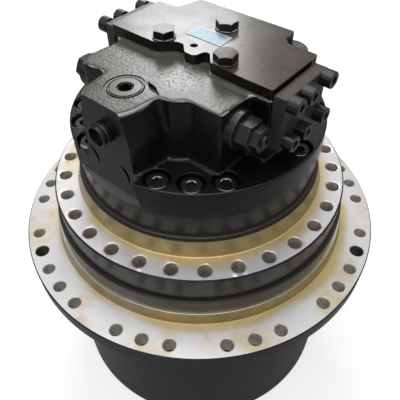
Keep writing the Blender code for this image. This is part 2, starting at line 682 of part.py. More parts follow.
def add_hub(hub_axis):
    root_height = SPROCKET_FACE - SPROCKET_FLANGE_THICKNESS
    outside = [
        (0, NECK_TOP), (NECK_RADIUS, NECK_TOP), (NECK_RADIUS, NECK_FOOT), (SHOULDER_RADIUS, NECK_FOOT),
        (SPROCKET_PILOT, SPROCKET_FACE), (SPROCKET_RADIUS - SPROCKET_EDGE, SPROCKET_FACE),
        (SPROCKET_RADIUS, SPROCKET_FACE - SPROCKET_EDGE), (SPROCKET_RADIUS, root_height),
        (SPROCKET_RADIUS - SPROCKET_EDGE, root_height - SPROCKET_EDGE),
        (HUB_BODY_RADIUS + SPROCKET_UNDERCUT, root_height - SPROCKET_UNDERCUT),
        (HUB_BODY_RADIUS, root_height - SPROCKET_ROOT_HEIGHT), (HUB_BODY_RADIUS, HUB_BOTTOM), (0, HUB_BOTTOM)]
    mesh = turned(outside, ROUND_STEPS, HUB_BOTTOM, ring=False)
    hub = add_piece("hub", mesh, "machined_steel", hub_axis, (0, 0, HUB_BOTTOM))
    top = NECK_TOP + CUT_OVERRUN
    foot = HUB_BOTTOM - CUT_OVERRUN
    rib = HUB_BORE - HUB_RIB_HEIGHT
    inside = [
        (0, top), (SEAL_BORE, top), (SEAL_BORE, SEAL_FLOOR), (HUB_BORE, SEAL_FLOOR),
        (HUB_BORE, UPPER_BEARING - SEAT_GAP), (rib, UPPER_BEARING - SEAT_GAP),
        (rib, LOWER_BEARING_TOP + SEAT_GAP),
        (HUB_BORE, LOWER_BEARING_TOP + SEAT_GAP), (HUB_BORE, foot), (0, foot)]
    cut(hub, add_tool("hub_bores", turned(inside, RING_STEPS, foot, ring=False), (0, 0, foot)))
    depth = SPROCKET_FLANGE_THICKNESS + SPROCKET_ROOT_HEIGHT + 2 * CUT_OVERRUN
    foot = SPROCKET_FACE + CUT_OVERRUN - depth
    plain, jack = sprocket_hole_places()
    cut(hub, add_tool("sprocket_holes", round_rods(plain, SPROCKET_HOLE_RADIUS, depth), (0, 0, foot)))
    cut(hub, add_tool("jack_holes", round_rods(jack, JACK_HOLE_RADIUS, depth), (0, 0, foot)))


def add_bearing(name, bottom, point_down, spindle_axis, hub_axis):
    """Tapered roller bearing: inner race, outer race, and the rollers with their cage as one ring."""
    lean = RACE_TAPER if point_down else -RACE_TAPER
    top = BEARING_WIDTH
    inner_wall = JOURNAL_RADIUS + RACE_THICKNESS
    outer_wall = HUB_BORE - RACE_THICKNESS
    bore = round_clear_of(JOURNAL_RADIUS + SEAT_GAP, RING_STEPS)
    rim = HUB_BORE - SEAT_GAP
    near = round_clear_of(inner_wall + RUNNING_GAP, RING_STEPS)
    far = round_within(outer_wall, RING_STEPS) - RUNNING_GAP
    inner = [(inner_wall + lean, top), (inner_wall - lean, 0), (bore, 0), (bore, top)]
    rollers = [(far + lean, top), (far - lean, 0), (near - lean, 0), (near + lean, top)]
    outer = [(rim, top), (rim, 0), (outer_wall - lean, 0), (outer_wall + lean, top)]
    roller_axis = pivot(name + "_roller_axis", (0, 0, bottom), spindle_axis)
    parts = (("_inner_race", inner, spindle_axis), ("_rollers", rollers, roller_axis),
             ("_outer_race", outer, hub_axis))
    for ending, profile, parent in parts:
        mesh = turned(profile, RING_STEPS)
        if parent is roller_axis:
            half_turned(mesh, RING_STEPS)
        add_piece(name + ending, mesh, "bearing_steel", parent, (0, 0, bottom))


def add_seal(spindle_axis, hub_axis):
    """The two lapped rings of the floating face seal, face to face."""
    inner = round_clear_of(SEAL_SHAFT + RUNNING_GAP, RING_STEPS)
    outer = round_within(SEAL_BORE, RING_STEPS) - RUNNING_GAP
    low = [(outer, SEAL_RING_HEIGHT), (outer - SEAL_RING_TAPER, 0), (inner, 0), (inner, SEAL_RING_HEIGHT)]
    foot = SEAL_FLOOR + SEAT_GAP
    add_piece("seal_ring_lower", turned(low, RING_STEPS), "bearing_steel", hub_axis, (0, 0, foot))
    upper_foot = foot + SEAL_RING_HEIGHT + SEAT_GAP
    height = FRAME_BOTTOM - SEAT_GAP - upper_foot
    high = [(outer - SEAL_RING_TAPER, height), (outer, 0), (inner, 0), (inner, height)]
    add_piece("seal_ring_upper", turned(high, RING_STEPS), "bearing_steel", spindle_axis, (0, 0, upper_foot))


def add_spindle_housing(spindle_axis):
    foot = CARRIER_2_UPPER_BOTTOM
    thread = JOURNAL_RADIUS - THREAD_STEP
    shoulder = JOURNAL_RADIUS + SHOULDER_HEIGHT
    outside = [
        (0, JOINT), (BARREL_RADIUS, JOINT), (BARREL_RADIUS, BARREL_FOOT), (FRAME_BOSS_RADIUS, BARREL_FOOT),
        (FRAME_PILOT, FRAME_FACE), (FRAME_RADIUS - FRAME_EDGE, FRAME_FACE),
        (FRAME_RADIUS, FRAME_FACE - FRAME_EDGE),
        (FRAME_RADIUS, FRAME_BOTTOM), (SEAL_SHAFT, FRAME_BOTTOM), (SEAL_SHAFT, SPROCKET_FACE),
        (shoulder, SHOULDER_BOTTOM), (JOURNAL_RADIUS, SHOULDER_BOTTOM), (JOURNAL_RADIUS, NUT_TOP),
        (thread, NUT_TOP), (thread, NUT_BOTTOM), (STUB_RADIUS, CARRIER_2_TOP), (STUB_RADIUS, foot), (0, foot)]
    mesh = turned(outside, ROUND_STEPS, foot, ring=False)
    housing = add_piece("spindle_housing", mesh, "machined_steel", spindle_axis, (0, 0, foot))
    add_spindle_bores(housing, foot - CUT_OVERRUN)
    places = [polar(FRAME_RADIUS - FRAME_HOLE_EDGE, 2 * pi * i / FRAME_HOLE_COUNT)
              for i in range(FRAME_HOLE_COUNT)]
    holes = round_rods(places, FRAME_HOLE_RADIUS, FRAME_FLANGE_THICKNESS + 2 * CUT_OVERRUN)
    cut(housing, add_tool("frame_holes", holes, (0, 0, FRAME_BOTTOM - CUT_OVERRUN)))
    bore = round_clear_of(thread + SEAT_GAP, RING_STEPS)
    nut = sleeve(bore, JOURNAL_RADIUS + NUT_REACH, NUT_HEIGHT - SEAT_GAP, RING_STEPS)
    add_piece("bearing_nut", nut, "black_oxide", spindle_axis, (0, 0, NUT_BOTTOM))


def add_spindle_bores(housing, foot):
    """Brake bore, motor chamber, shaft bearing seat, shaft hole and control piston bore."""
    top = JOINT + CUT_OVERRUN
    bearing_foot = SWASH_FLOOR - SHAFT_BEARING_HEIGHT
    inside = [
        (0, top), (BRAKE_BORE, top), (BRAKE_BORE, BRAKE_BORE_FOOT), (BRAKE_STACK_BORE, BRAKE_BORE_FOOT),
        (BRAKE_STACK_BORE, BRAKE_SHOULDER), (MOTOR_BORE, BRAKE_SHOULDER), (MOTOR_BORE, SWASH_FLOOR),
        (SHAFT_BEARING_RADIUS, SWASH_FLOOR), (SHAFT_BEARING_RADIUS, bearing_foot), (SHAFT_HOLE, bearing_foot),
        (SHAFT_HOLE, foot), (0, foot)]
    cut(housing, add_tool("spindle_bores", turned(inside, RING_STEPS, foot, ring=False), (0, 0, foot)))
    depth = CONTROL_PISTON_LENGTH + CUT_OVERRUN
    bore = round_rods([(0, CONTROL_PISTON_OFFSET)], CONTROL_PISTON_RADIUS + SEAT_GAP, depth, SMALL_STEPS)
    cut(housing, add_tool("control_piston_bore", bore, (0, 0, SWASH_FLOOR - CONTROL_PISTON_LENGTH)))


def add_second_carrier(spindle_axis):
    """Fixed carrier on the spindle's stub: two plates, three posts, three pins."""
    rim = PLANET_CIRCLE + PIN_2_RADIUS + CARRIER_2_RIM
    hole = SUN_TIP + SUN_2_HOLE_GAP
    bore = round_clear_of(STUB_RADIUS + SEAT_GAP, RING_STEPS)
    upper = sleeve(bore, rim, CARRIER_2_UPPER_THICKNESS, RING_STEPS)
    carrier = add_piece("carrier_2", upper, "gear_steel", spindle_axis, (0, 0, CARRIER_2_UPPER_BOTTOM))
    post_places = [polar(PLANET_CIRCLE + POST_CIRCLE_SHIFT, planet_angle(i + 0.5))
                   for i in range(PLANET_COUNT)]
    post_height = CARRIER_2_UPPER_BOTTOM - CARRIER_2_LOWER_TOP + 2 * JOIN_OVERLAP
    posts = round_rods(post_places, POST_RADIUS, post_height)
    join(carrier, add_tool("carrier_2_posts", posts, (0, 0, CARRIER_2_LOWER_TOP - JOIN_OVERLAP)))
    lower = sleeve(hole, rim, CARRIER_2_LOWER_THICKNESS, RING_STEPS)
    join(carrier, add_tool("carrier_2_lower_plate", lower, (0, 0, CARRIER_2_BOTTOM)))
    height = CARRIER_2_TOP - CARRIER_2_BOTTOM
    holes = round_rods(planet_places(), PIN_2_RADIUS + SEAT_GAP, height + 2 * CUT_OVERRUN, SMALL_STEPS)
    cut(carrier, add_tool("carrier_2_pin_holes", holes, (0, 0, CARRIER_2_BOTTOM - CUT_OVERRUN)))
    for number, (x, y) in enumerate(planet_places(), 1):
        pin = round_rods([(0, 0)], PIN_2_RADIUS, height, SMALL_STEPS)
        add_piece(f"planet_pin_2_{number}", pin, "bearing_steel", spindle_axis, (x, y, CARRIER_2_BOTTOM))


def add_first_carrier(carrier_axis):
    """Floating carrier: plate, three overhung pins, and the second sun splined into it."""
    rim = PLANET_CIRCLE + PIN_1_RADIUS + CARRIER_RIM
    neck = DRIVE_SHAFT_RADIUS + SUN_BORE_GAP + SUN_2_NECK_WALL
    plate = sleeve(neck + SEAT_GAP, rim, CARRIER_1_THICKNESS, RING_STEPS)
    carrier = add_piece("carrier_1", plate, "gear_steel", carrier_axis, (0, 0, CARRIER_1_BOTTOM))
    hole_depth = CARRIER_1_THICKNESS + 2 * CUT_OVERRUN
    holes = round_rods(planet_places(), PIN_1_RADIUS + SEAT_GAP, hole_depth, SMALL_STEPS)
    cut(carrier, add_tool("carrier_1_pin_holes", holes, (0, 0, CARRIER_1_BOTTOM - CUT_OVERRUN)))
    for number, (x, y) in enumerate(planet_places(), 1):
        foot = PLANET_1_BOTTOM - SIDE_GAP
        pin = round_rods([(0, 0)], PIN_1_RADIUS, CARRIER_1_TOP - foot, SMALL_STEPS)
        add_piece(f"planet_pin_1_{number}", pin, "bearing_steel", carrier_axis, (x, y, foot))
    gear = prism([wheel_loop(SUN_TEETH, 0)], PLANET_2_WIDTH)
    sun = add_piece("sun_2", gear, "gear_steel", carrier_axis, (0, 0, PLANET_2_BOTTOM))
    neck_rod = round_rods([(0, 0)], neck, PLANET_2_BOTTOM - CARRIER_1_BOTTOM + JOIN_OVERLAP, RING_STEPS)
    join(sun, add_tool("sun_2_neck", neck_rod, (0, 0, CARRIER_1_BOTTOM)))
    height = PLANET_2_TOP - CARRIER_1_BOTTOM + 2 * CUT_OVERRUN
    bore = round_rods([(0, 0)], DRIVE_SHAFT_RADIUS + SUN_BORE_GAP, height, SMALL_STEPS)
    cut(sun, add_tool("sun_2_bore", bore, (0, 0, CARRIER_1_BOTTOM - CUT_OVERRUN)))


def add_planets(stage, bottom, width, pin_radius, parent):
    bore = round_clear_of(pin_radius + RUNNING_GAP, SMALL_STEPS)
    for number, (x, y) in enumerate(planet_places()):
        axis = pivot(f"planet_{stage}_{number + 1}_axis", (x, y, bottom), parent)
        hole = circle(bore, SMALL_STEPS, start=pi / SMALL_STEPS)
        loops = [wheel_loop(PLANET_TEETH, planet_start(number)), hole]
        add_piece(f"planet_{stage}_{number + 1}", prism(loops, width), "gear_steel", axis, (x, y, bottom))


def add_drive_shafts(shaft_axis):
    shaft_foot = SWASH_FLOOR - SHAFT_BELOW_FLOOR
    sun_foot = PLANET_1_BOTTOM - SIDE_GAP + SEAT_GAP
    gear = prism([wheel_loop(SUN_TEETH, 0)], PLANET_1_TOP - sun_foot)
    sun = add_piece("sun_1", gear, "gear_steel", shaft_axis, (0, 0, sun_foot))
    reach = shaft_foot + SHAFT_SOCKET_DEPTH - SIDE_GAP - sun_foot - JOIN_OVERLAP
    rod = round_rods([(0, 0)], DRIVE_SHAFT_RADIUS, reach, SMALL_STEPS)
    join(sun, add_tool("sun_1_shaft", rod, (0, 0, sun_foot + JOIN_OVERLAP)))
    socket = DRIVE_SHAFT_RADIUS + SEAT_GAP
    socket_top = shaft_foot + SHAFT_SOCKET_DEPTH
    top = CASING_BOTTOM + SHAFT_TOP_REACH
    profile = [(0, top), (SHAFT_TOP_RADIUS, top), (SHAFT_TOP_RADIUS, BLOCK_TOP), (SHAFT_RADIUS, BLOCK_TOP),
               (SHAFT_RADIUS, shaft_foot), (socket, shaft_foot), (socket, socket_top), (0, socket_top)]
    mesh = turned(profile, SMALL_STEPS, shaft_foot, ring=False)
    add_piece("motor_shaft", mesh, "gear_steel", shaft_axis, (0, 0, shaft_foot))


def add_shaft_supports(spindle_axis):
    """Roller bearing under the swash plate, roller bearing in the rear casing, and the shaft seal."""
    bore = round_clear_of(SHAFT_RADIUS + RUNNING_GAP, RING_STEPS)
    outer = SHAFT_BEARING_RADIUS - SEAT_GAP
    height = SHAFT_BEARING_HEIGHT - 2 * SEAT_GAP
    lower = sleeve(bore, outer, height, RING_STEPS)
    foot = SWASH_FLOOR - SHAFT_BEARING_HEIGHT + SEAT_GAP
    add_piece("shaft_bearing_lower", lower, "bearing_steel", spindle_axis, (0, 0, foot))
    top_bore = round_clear_of(SHAFT_TOP_RADIUS + RUNNING_GAP, RING_STEPS)
    upper = sleeve(top_bore, outer, height, RING_STEPS)
    add_piece("shaft_bearing_upper", upper, "bearing_steel", spindle_axis, (0, 0, CASING_BOTTOM))
    seal = sleeve(bore, SHAFT_HOLE - SEAT_GAP, SHAFT_SEAL_HEIGHT, RING_STEPS)
    seal_foot = foot - SHAFT_SEAL_HEIGHT - SIDE_GAP
    add_piece("shaft_seal", seal, "friction_lining", spindle_axis, (0, 0, seal_foot))


def add_cylinder_block(shaft_axis, spindle_axis):
    bore = round_clear_of(SHAFT_RADIUS + SEAT_GAP, RING_STEPS)
    mesh = sleeve(bore, BLOCK_RADIUS, BLOCK_LENGTH, RING_STEPS)
    block = add_piece("cylinder_block", mesh, "gear_steel", shaft_axis, (0, 0, BLOCK_BOTTOM))
    piston_circle = BLOCK_RADIUS * PISTON_CIRCLE_SHARE
    places = [polar(piston_circle, 2 * pi * i / PISTON_COUNT) for i in range(PISTON_COUNT)]
    pistons = round_rods(places, PISTON_RADIUS, PISTON_REACH + JOIN_OVERLAP)
    join(block, add_tool("piston_ends", pistons, (0, 0, BLOCK_BOTTOM - PISTON_REACH)))
    plate_radius = BLOCK_RADIUS - VALVE_PLATE_SETBACK
    plate = sleeve(bore + SEAT_GAP, plate_radius, VALVE_PLATE_THICKNESS, RING_STEPS)
    plate_foot = BLOCK_TOP + SEAT_GAP
    valve_plate = add_piece("valve_plate", plate, "bearing_steel", spindle_axis, (0, 0, plate_foot))
    kidney_circle = BLOCK_RADIUS * KIDNEY_CIRCLE_SHARE
    for name, side in (("inlet_kidney", 0), ("outlet_kidney", pi)):
        start, end = side - KIDNEY_SPAN / 2, side + KIDNEY_SPAN / 2
        loop = arc((0, 0), kidney_circle + KIDNEY_WIDTH / 2, start, end, ARC_STEPS)
        loop += arc((0, 0), kidney_circle - KIDNEY_WIDTH / 2, end, start, ARC_STEPS)
        slot = prism([loop], VALVE_PLATE_THICKNESS + 2 * CUT_OVERRUN)
        cut(valve_plate, add_tool(name, slot, (0, 0, plate_foot - CUT_OVERRUN)))
    disc_inner = BLOCK_RADIUS + SEAT_GAP
    disc = sleeve(disc_inner, BRAKE_STACK_BORE - BRAKE_DISC_EDGE_GAP, BRAKE_DISC_THICKNESS, RING_STEPS)
    disc_foot = BRAKE_SHOULDER + SEAT_GAP
    add_piece("brake_disc", disc, "friction_lining", shaft_axis, (0, 0, disc_foot))
    plate_foot = disc_foot + BRAKE_DISC_THICKNESS + SEAT_GAP
    inner = BLOCK_RADIUS + BRAKE_PLATE_GAP
    brake_plate = sleeve(inner, BRAKE_STACK_BORE - SEAT_GAP, BRAKE_DISC_THICKNESS, RING_STEPS)
    add_piece("brake_plate", brake_plate, "bearing_steel", spindle_axis, (0, 0, plate_foot))


def add_brake_piston(spindle_axis):
    foot = BRAKE_SHOULDER + 2 * (BRAKE_DISC_THICKNESS + SEAT_GAP) + SEAT_GAP
    top = JOINT - BRAKE_PISTON_TOP_GAP
    outer = BRAKE_BORE - SEAT_GAP
    inner = BLOCK_RADIUS + BRAKE_PISTON_INNER_GAP
    axis = pivot("brake_piston_axis", (0, 0, foot), spindle_axis)
    piston = sleeve(inner, outer, top - foot, RING_STEPS)
    add_piece("brake_piston", piston, "machined_steel", axis, (0, 0, foot))
    low = top + SEAT_GAP
    high = JOINT - SEAT_GAP
    near, far = inner + BRAKE_SPRING_INSET, outer - BRAKE_SPRING_INSET
    cone = [(far, high), (far, high - BRAKE_SPRING_THICKNESS), (near, low),
            (near, low + BRAKE_SPRING_THICKNESS)]
    spring = turned(cone, RING_STEPS, low)
    add_piece("brake_disc_spring", spring, "bearing_steel", spindle_axis, (0, 0, low))


def add_swash(spindle_axis):
    floor = SWASH_FLOOR + SEAT_GAP
    swash_axis = pivot("swash_axis", (0, 0, floor), spindle_axis)
    height = SWASH_HEIGHT + SWASH_RADIUS * tan(SWASH_ANGLE) + CUT_OVERRUN
    ring = sleeve(SWASH_HOLE_RADIUS, SWASH_RADIUS, height, RING_STEPS)
    swash = add_piece("swash_plate", ring, "gear_steel", swash_axis, (0, 0, floor))
    reach = 2 * SWASH_RADIUS
    above = add_tool("swash_face", box((-reach, -reach, 0), (reach, reach, height)), (0, 0, SWASH_MIDDLE))
    above.rotation_euler = (-SWASH_ANGLE, 0, 0)
    cut(swash, above)
    below = add_tool("swash_relief", box((-reach, -reach, -height), (reach, 0, 0)), (0, 0, floor))
    below.rotation_euler = (-SWASH_RELIEF_ANGLE, 0, 0)
    cut(swash, below)
    normal = Euler((-SWASH_ANGLE, 0, 0)).to_matrix() @ Vector((0, 0, 1))
    plate_place = Vector((0, 0, SWASH_MIDDLE)) + normal * (SHOE_HEIGHT + SEAT_GAP)
    retainer_axis = pivot("retainer_axis", plate_place, swash_axis)
    shoe_circle = BLOCK_RADIUS * PISTON_CIRCLE_SHARE
    plate_mesh = sleeve(SWASH_HOLE_RADIUS, shoe_circle + RETAINER_RIM, RETAINER_THICKNESS, RING_STEPS)
    plate = add_piece("retainer_plate", plate_mesh, "gear_steel", retainer_axis, plate_place)
    plate.rotation_euler = (-SWASH_ANGLE, 0, 0)
    places = [polar(shoe_circle, 2 * pi * i / PISTON_COUNT) for i in range(PISTON_COUNT)]
    shoes = round_rods(places, SHOE_RADIUS, SHOE_HEIGHT + JOIN_OVERLAP)
    shoe_tool = add_tool("piston_shoes", shoes, plate_place - normal * SHOE_HEIGHT)
    shoe_tool.rotation_euler = (-SWASH_ANGLE, 0, 0)
    join(plate, shoe_tool)
    foot = SWASH_FLOOR - CONTROL_PISTON_LENGTH + SEAT_GAP
    top = SWASH_FLOOR
    radius = CONTROL_PISTON_RADIUS
    profile = [(0, top), (radius / 2, top - CONTROL_PISTON_DOME / 4), (radius, top - CONTROL_PISTON_DOME),
               (radius, foot), (0, foot)]
    piston_axis = pivot("control_piston_axis", (0, CONTROL_PISTON_OFFSET, foot), spindle_axis)
    mesh = turned(profile, SMALL_STEPS, foot, ring=False)
    add_piece("control_piston", mesh, "bearing_steel", piston_axis, (0, CONTROL_PISTON_OFFSET, foot))


def body_loop():
    """Plan of the valve body that carries the manifold cover, anticlockwise."""
    return [
        (BODY_LEFT, BODY_FRONT), (BODY_RIGHT, BODY_FRONT), (BODY_RIGHT, NOTCH_FRONT),
        (BACK_RIGHT, NOTCH_FRONT),
        (BACK_RIGHT, BODY_BACK), (BACK_LEFT, BODY_BACK), (BACK_LEFT - BACK_SHOULDER, BODY_SIDE),
        (BODY_LEFT, BODY_SIDE)]


def brake_block_loop():
    """Plan of the brake valve block, from inside the valve body out to the port boss."""
    port_x, port_y = PORT_PLACE
    back = BODY_FRONT + JOIN_OVERLAP
    step = BLOCK_FRONT - BLOCK_WAIST_STEP
    return [
        (BLOCK_LEFT, back), (BLOCK_LEFT, BLOCK_CORNER),
        (port_x - PORT_BOSS_HALF, BLOCK_CORNER - JOIN_OVERLAP),
        (port_x, port_y), (port_x + PORT_BOSS_HALF, step), (BLOCK_WAIST, step),
        (BLOCK_WAIST + BLOCK_WAIST_DEPTH, BLOCK_FRONT), (BLOCK_RIGHT, BLOCK_FRONT), (BLOCK_RIGHT, back)]


def port_boss_loop(spread):
    """Plan of the port boss: square, with rounded corners at the front, moved out by the spread."""
    port_x, port_y = PORT_PLACE
    half = PORT_BOSS_HALF + spread
    front = -FLAT_DISTANCE - PORT_BOSS_REACH - spread
    corner = PORT_BOSS_CORNER
    right, left = port_x + half - corner, port_x - half + corner
    loop = [(port_x - half, port_y + half)]
    loop += arc((left, front + corner), corner, pi, pi * 3 / 2, ARC_STEPS)
    loop += arc((right, front + corner), corner, pi * 3 / 2, 2 * pi, ARC_STEPS)
    loop += [(port_x + half, port_y + half)]
    return loop


def flat_loop():
    """What the flat side takes off, seen in X and Z: its right edge leans out to the joint plane."""
    foot = CASING_BOTTOM - CUT_OVERRUN
    top = BLOCK_FACE + CUT_OVERRUN
    return [(FLAT_LEFT, foot), (FLAT_FOOT_RIGHT, foot), (FLAT_RIGHT, CASING_FACE), (FLAT_RIGHT, top),
            (FLAT_LEFT, top)]


def drafted(loop, foot_loop, height):
    """Prism whose foot takes another outline with as many points."""
    mesh = prism([loop], height)
    for point in mesh.vertices:
        if point.co.z < height / 2:
            nearest = min(range(len(loop)), key=lambda i: (Vector(loop[i]) - point.co.xy).length)
            point.co.xy = foot_loop[nearest]
    return mesh


def add_rear_casing(spindle_axis):
    pocket = SHAFT_BEARING_RADIUS
    pocket_top = CASING_BOTTOM + SHAFT_BEARING_HEIGHT
    profile = [(0, CASING_FACE), (CASING_RADIUS - CASING_EDGE, CASING_FACE),
               (CASING_RADIUS, CASING_FACE - CASING_EDGE), (CASING_RADIUS, CASING_BOTTOM),
               (pocket, CASING_BOTTOM),
               (pocket, pocket_top), (0, pocket_top)]
    flange = turned(profile, ROUND_STEPS, CASING_BOTTOM, ring=False)
    casing = add_piece("rear_casing", flange, "black_paint", spindle_axis, (0, 0, CASING_BOTTOM))
    foot = CASING_FACE - JOIN_OVERLAP
    body = prism([body_loop()], BLOCK_FACE - foot)
    join(casing, add_tool("valve_body", body, (0, 0, foot)))
    block = prism([brake_block_loop()], BLOCK_FACE - foot)
    join(casing, add_tool("brake_block", block, (0, 0, foot)))
    port_top = BLOCK_FACE - PORT_FACE_SINK
    rim = port_top + PORT_RIM
    waist = port_top - PORT_BOSS_WAIST
    wide = port_boss_loop(PORT_BOSS_DRAFT)
    join(casing, add_tool("port_boss_foot", prism([wide], waist - foot), (0, 0, foot)))
    boss = drafted(port_boss_loop(0), port_boss_loop(PORT_BOSS_DRAFT - SEAT_GAP), rim - waist + SEAT_GAP)
    join(casing, add_tool("port_boss", boss, (0, 0, waist - SEAT_GAP)))
    notch_boss = round_rods([NOTCH_BOSS], NOTCH_BOSS_RADIUS, BLOCK_FACE - NOTCH_BOSS_SINK - foot, SMALL_STEPS)
    join(casing, add_tool("notch_boss", notch_boss, (0, 0, foot)))
    flat = laid_along_y(prism([flat_loop()], FLAT_DISTANCE), -1)
    cut(casing, add_tool("casing_flat", flat, (0, -FLAT_DISTANCE, 0)))
    face = round_rods([PORT_PLACE], PORT_FACE_RADIUS, PORT_FACE_SINK + CUT_OVERRUN, RING_STEPS)
    cut(casing, add_tool("port_face", face, (0, 0, port_top)))
    bore_depth = PORT_PLUG_LENGTH + PORT_FACE_SINK + CUT_OVERRUN
    bore = round_rods([PORT_PLACE], PORT_PLUG_RADIUS + SEAT_GAP, bore_depth, RING_STEPS)
    cut(casing, add_tool("port_bore", bore, (0, 0, port_top - PORT_PLUG_LENGTH)))
    screw_circle = CASING_RADIUS - CASING_SCREW_EDGE
    wells = round_rods([polar(screw_circle, radians(a)) for a in CASING_SCREW_ANGLES],
                       CASING_SCREW_WELL_RADIUS, CASING_SCREW_SINK + CUT_OVERRUN)
    cut(casing, add_tool("casing_screw_wells", wells, (0, 0, CASING_FACE - CASING_SCREW_SINK)))
    add_casing_bores(casing)


def add_casing_bores(casing):
    """Bores for the spool, the two valves, the side plug, the back plugs and the cover bolts."""
    length = BODY_RIGHT - BODY_LEFT + 2 * CUT_OVERRUN
    spool_bore = laid_along_x(round_rods([(0, 0)], SPOOL_BORE_RADIUS, length, SMALL_STEPS))
    cut(casing, add_tool("spool_bore", spool_bore, (BODY_LEFT - CUT_OVERRUN, SPOOL_SIDE, SPOOL_Z)))
    depth = RELIEF_BODY_LENGTH + CUT_OVERRUN
    rod = laid_along_x(round_rods([(0, 0)], RELIEF_BODY_RADIUS + SEAT_GAP, depth, SMALL_STEPS), -1)
    cut(casing, add_tool("relief_valve_bore", rod, (BLOCK_RIGHT + CUT_OVERRUN, RELIEF_SIDE, RELIEF_Z)))
    depth = CHECK_BODY_LENGTH + CUT_OVERRUN
    rod = laid_along_x(round_rods([(0, 0)], CHECK_BODY_RADIUS + SEAT_GAP, depth, SMALL_STEPS))
    cut(casing, add_tool("check_valve_bore", rod, (BLOCK_LEFT - CUT_OVERRUN, CHECK_SIDE, CHECK_Z)))
    x, height = SIDE_PLUG_PLACE
    side_depth = SIDE_PLUG_DEPTH + CUT_OVERRUN
    rod = laid_along_y(round_rods([(0, 0)], SIDE_PLUG_THREAD_RADIUS + SEAT_GAP, side_depth, SMALL_STEPS))
    cut(casing, add_tool("side_plug_bore", rod, (x, -FLAT_DISTANCE - CUT_OVERRUN, CASING_FACE + height)))
    back_depth = BACK_PLUG_DEPTH + CUT_OVERRUN
    for number, x in enumerate(BACK_PORT_X, 1):
        rod = laid_along_y(round_rods([(0, 0)], BACK_PORT_RADIUS + SEAT_GAP, back_depth, SMALL_STEPS), -1)
        place = (x, BODY_BACK + CUT_OVERRUN, CASING_FACE + BACK_PORT_HEIGHT)
        cut(casing, add_tool(f"back_port_{number}", rod, place))
    holes = round_rods(BOLT_PLACES, BOLT_RADIUS + SEAT_GAP, BOLT_DEPTH + CUT_OVERRUN, SMALL_STEPS)
    cut(casing, add_tool("bolt_holes", holes, (0, 0, BLOCK_FACE - BOLT_DEPTH)))


def add_port_plugs(spindle_axis):
    port_top = BLOCK_FACE - PORT_FACE_SINK
    foot = port_top - PORT_PLUG_LENGTH + SEAT_GAP
    mesh = round_rods([(0, 0)], PORT_PLUG_RADIUS, PORT_PLUG_LENGTH - SEAT_GAP, RING_STEPS)
    plug = add_piece("port_plug", mesh, "black_paint", spindle_axis, (*PORT_PLACE, foot))
    socket = round_rods([(0, 0)], PORT_SOCKET_RADIUS, PORT_SOCKET_DEPTH + CUT_OVERRUN, HEX_STEPS)
    cut(plug, add_tool("port_plug_socket", socket, (*PORT_PLACE, port_top - PORT_SOCKET_DEPTH)))
    x, height = SIDE_PLUG_PLACE
    depth = SIDE_PLUG_DEPTH - SEAT_GAP
    add_wall_plug("side_plug", SIDE_PLUG_RADIUS, SIDE_PLUG_STAND, SIDE_PLUG_THREAD_RADIUS, depth, -1,
                  spindle_axis, (x, -FLAT_DISTANCE, CASING_FACE + height))
    for number, x in enumerate(BACK_PORT_X, 1):
        add_wall_plug(f"back_port_plug_{number}", BACK_PLUG_HEAD_RADIUS, BACK_PLUG_HEAD, BACK_PORT_RADIUS,
                      BACK_PLUG_DEPTH - SEAT_GAP, 1, spindle_axis,
                      (x, BODY_BACK, CASING_FACE + BACK_PORT_HEIGHT))


def add_wall_plug(name, head, stand, thread, depth, direction, parent, place):
    """Round-headed plug in a wall that faces +Y or -Y, with a hexagon socket in its head."""
    profile = [(0, SEAT_GAP + stand), (head, SEAT_GAP + stand), (head, SEAT_GAP), (thread, SEAT_GAP),
               (thread, -depth), (0, -depth)]
    mesh = laid_along_y(turned(profile, SMALL_STEPS, ring=False), direction)
    plug = add_piece(name, mesh, "black_oxide", parent, place)
    socket = laid_along_y(round_rods([(0, 0)], head / 2, stand + CUT_OVERRUN, HEX_STEPS), direction)
    cut(plug, add_tool(name + "_socket", socket, (place[0], place[1] + direction * stand / 2, place[2])))


def add_cartridge(name, body, collar, hexagon, direction, parent, place):
    """Cartridge valve along X: its body in the block, collar and hexagon outside.

    Each of body, collar and hexagon is a radius and a length.
    """
    collar_top = SEAT_GAP + collar[1]
    body_foot = SEAT_GAP - body[1]
    profile = [(0, collar_top), (collar[0], collar_top), (collar[0], SEAT_GAP), (body[0], SEAT_GAP),
               (body[0], body_foot), (0, body_foot)]
    mesh = laid_along_x(turned(profile, SMALL_STEPS, ring=False), direction)
    valve = add_piece(name, mesh, "black_paint", parent, place)
    bar = round_rods([(0, 0)], hexagon[0], collar_top + hexagon[1], HEX_STEPS)
    join(valve, add_tool(name + "_hexagon", laid_along_x(bar, direction), place))
    return valve


def add_cartridges(spindle_axis):
    place = (BLOCK_RIGHT, RELIEF_SIDE, RELIEF_Z)
    relief = add_cartridge("relief_valve", (RELIEF_BODY_RADIUS, RELIEF_BODY_LENGTH),
                           (RELIEF_COLLAR_RADIUS, RELIEF_COLLAR_HEIGHT),
                           (RELIEF_HEX_RADIUS, RELIEF_HEX_HEIGHT),
                           1, spindle_axis, place)
    nut_top = SEAT_GAP + RELIEF_COLLAR_HEIGHT + RELIEF_HEX_HEIGHT + RELIEF_NUT_HEIGHT
    nut = laid_along_x(round_rods([(0, 0)], RELIEF_NUT_RADIUS, nut_top, HEX_STEPS))
    join(relief, add_tool("relief_valve_nut", nut, place))
    add_cartridge("check_valve", (CHECK_BODY_RADIUS, CHECK_BODY_LENGTH),
                  (CHECK_COLLAR_RADIUS, CHECK_COLLAR_HEIGHT), (CHECK_HEX_RADIUS, CHECK_HEX_HEIGHT),
                  -1, spindle_axis, (BLOCK_LEFT, CHECK_SIDE, CHECK_Z))


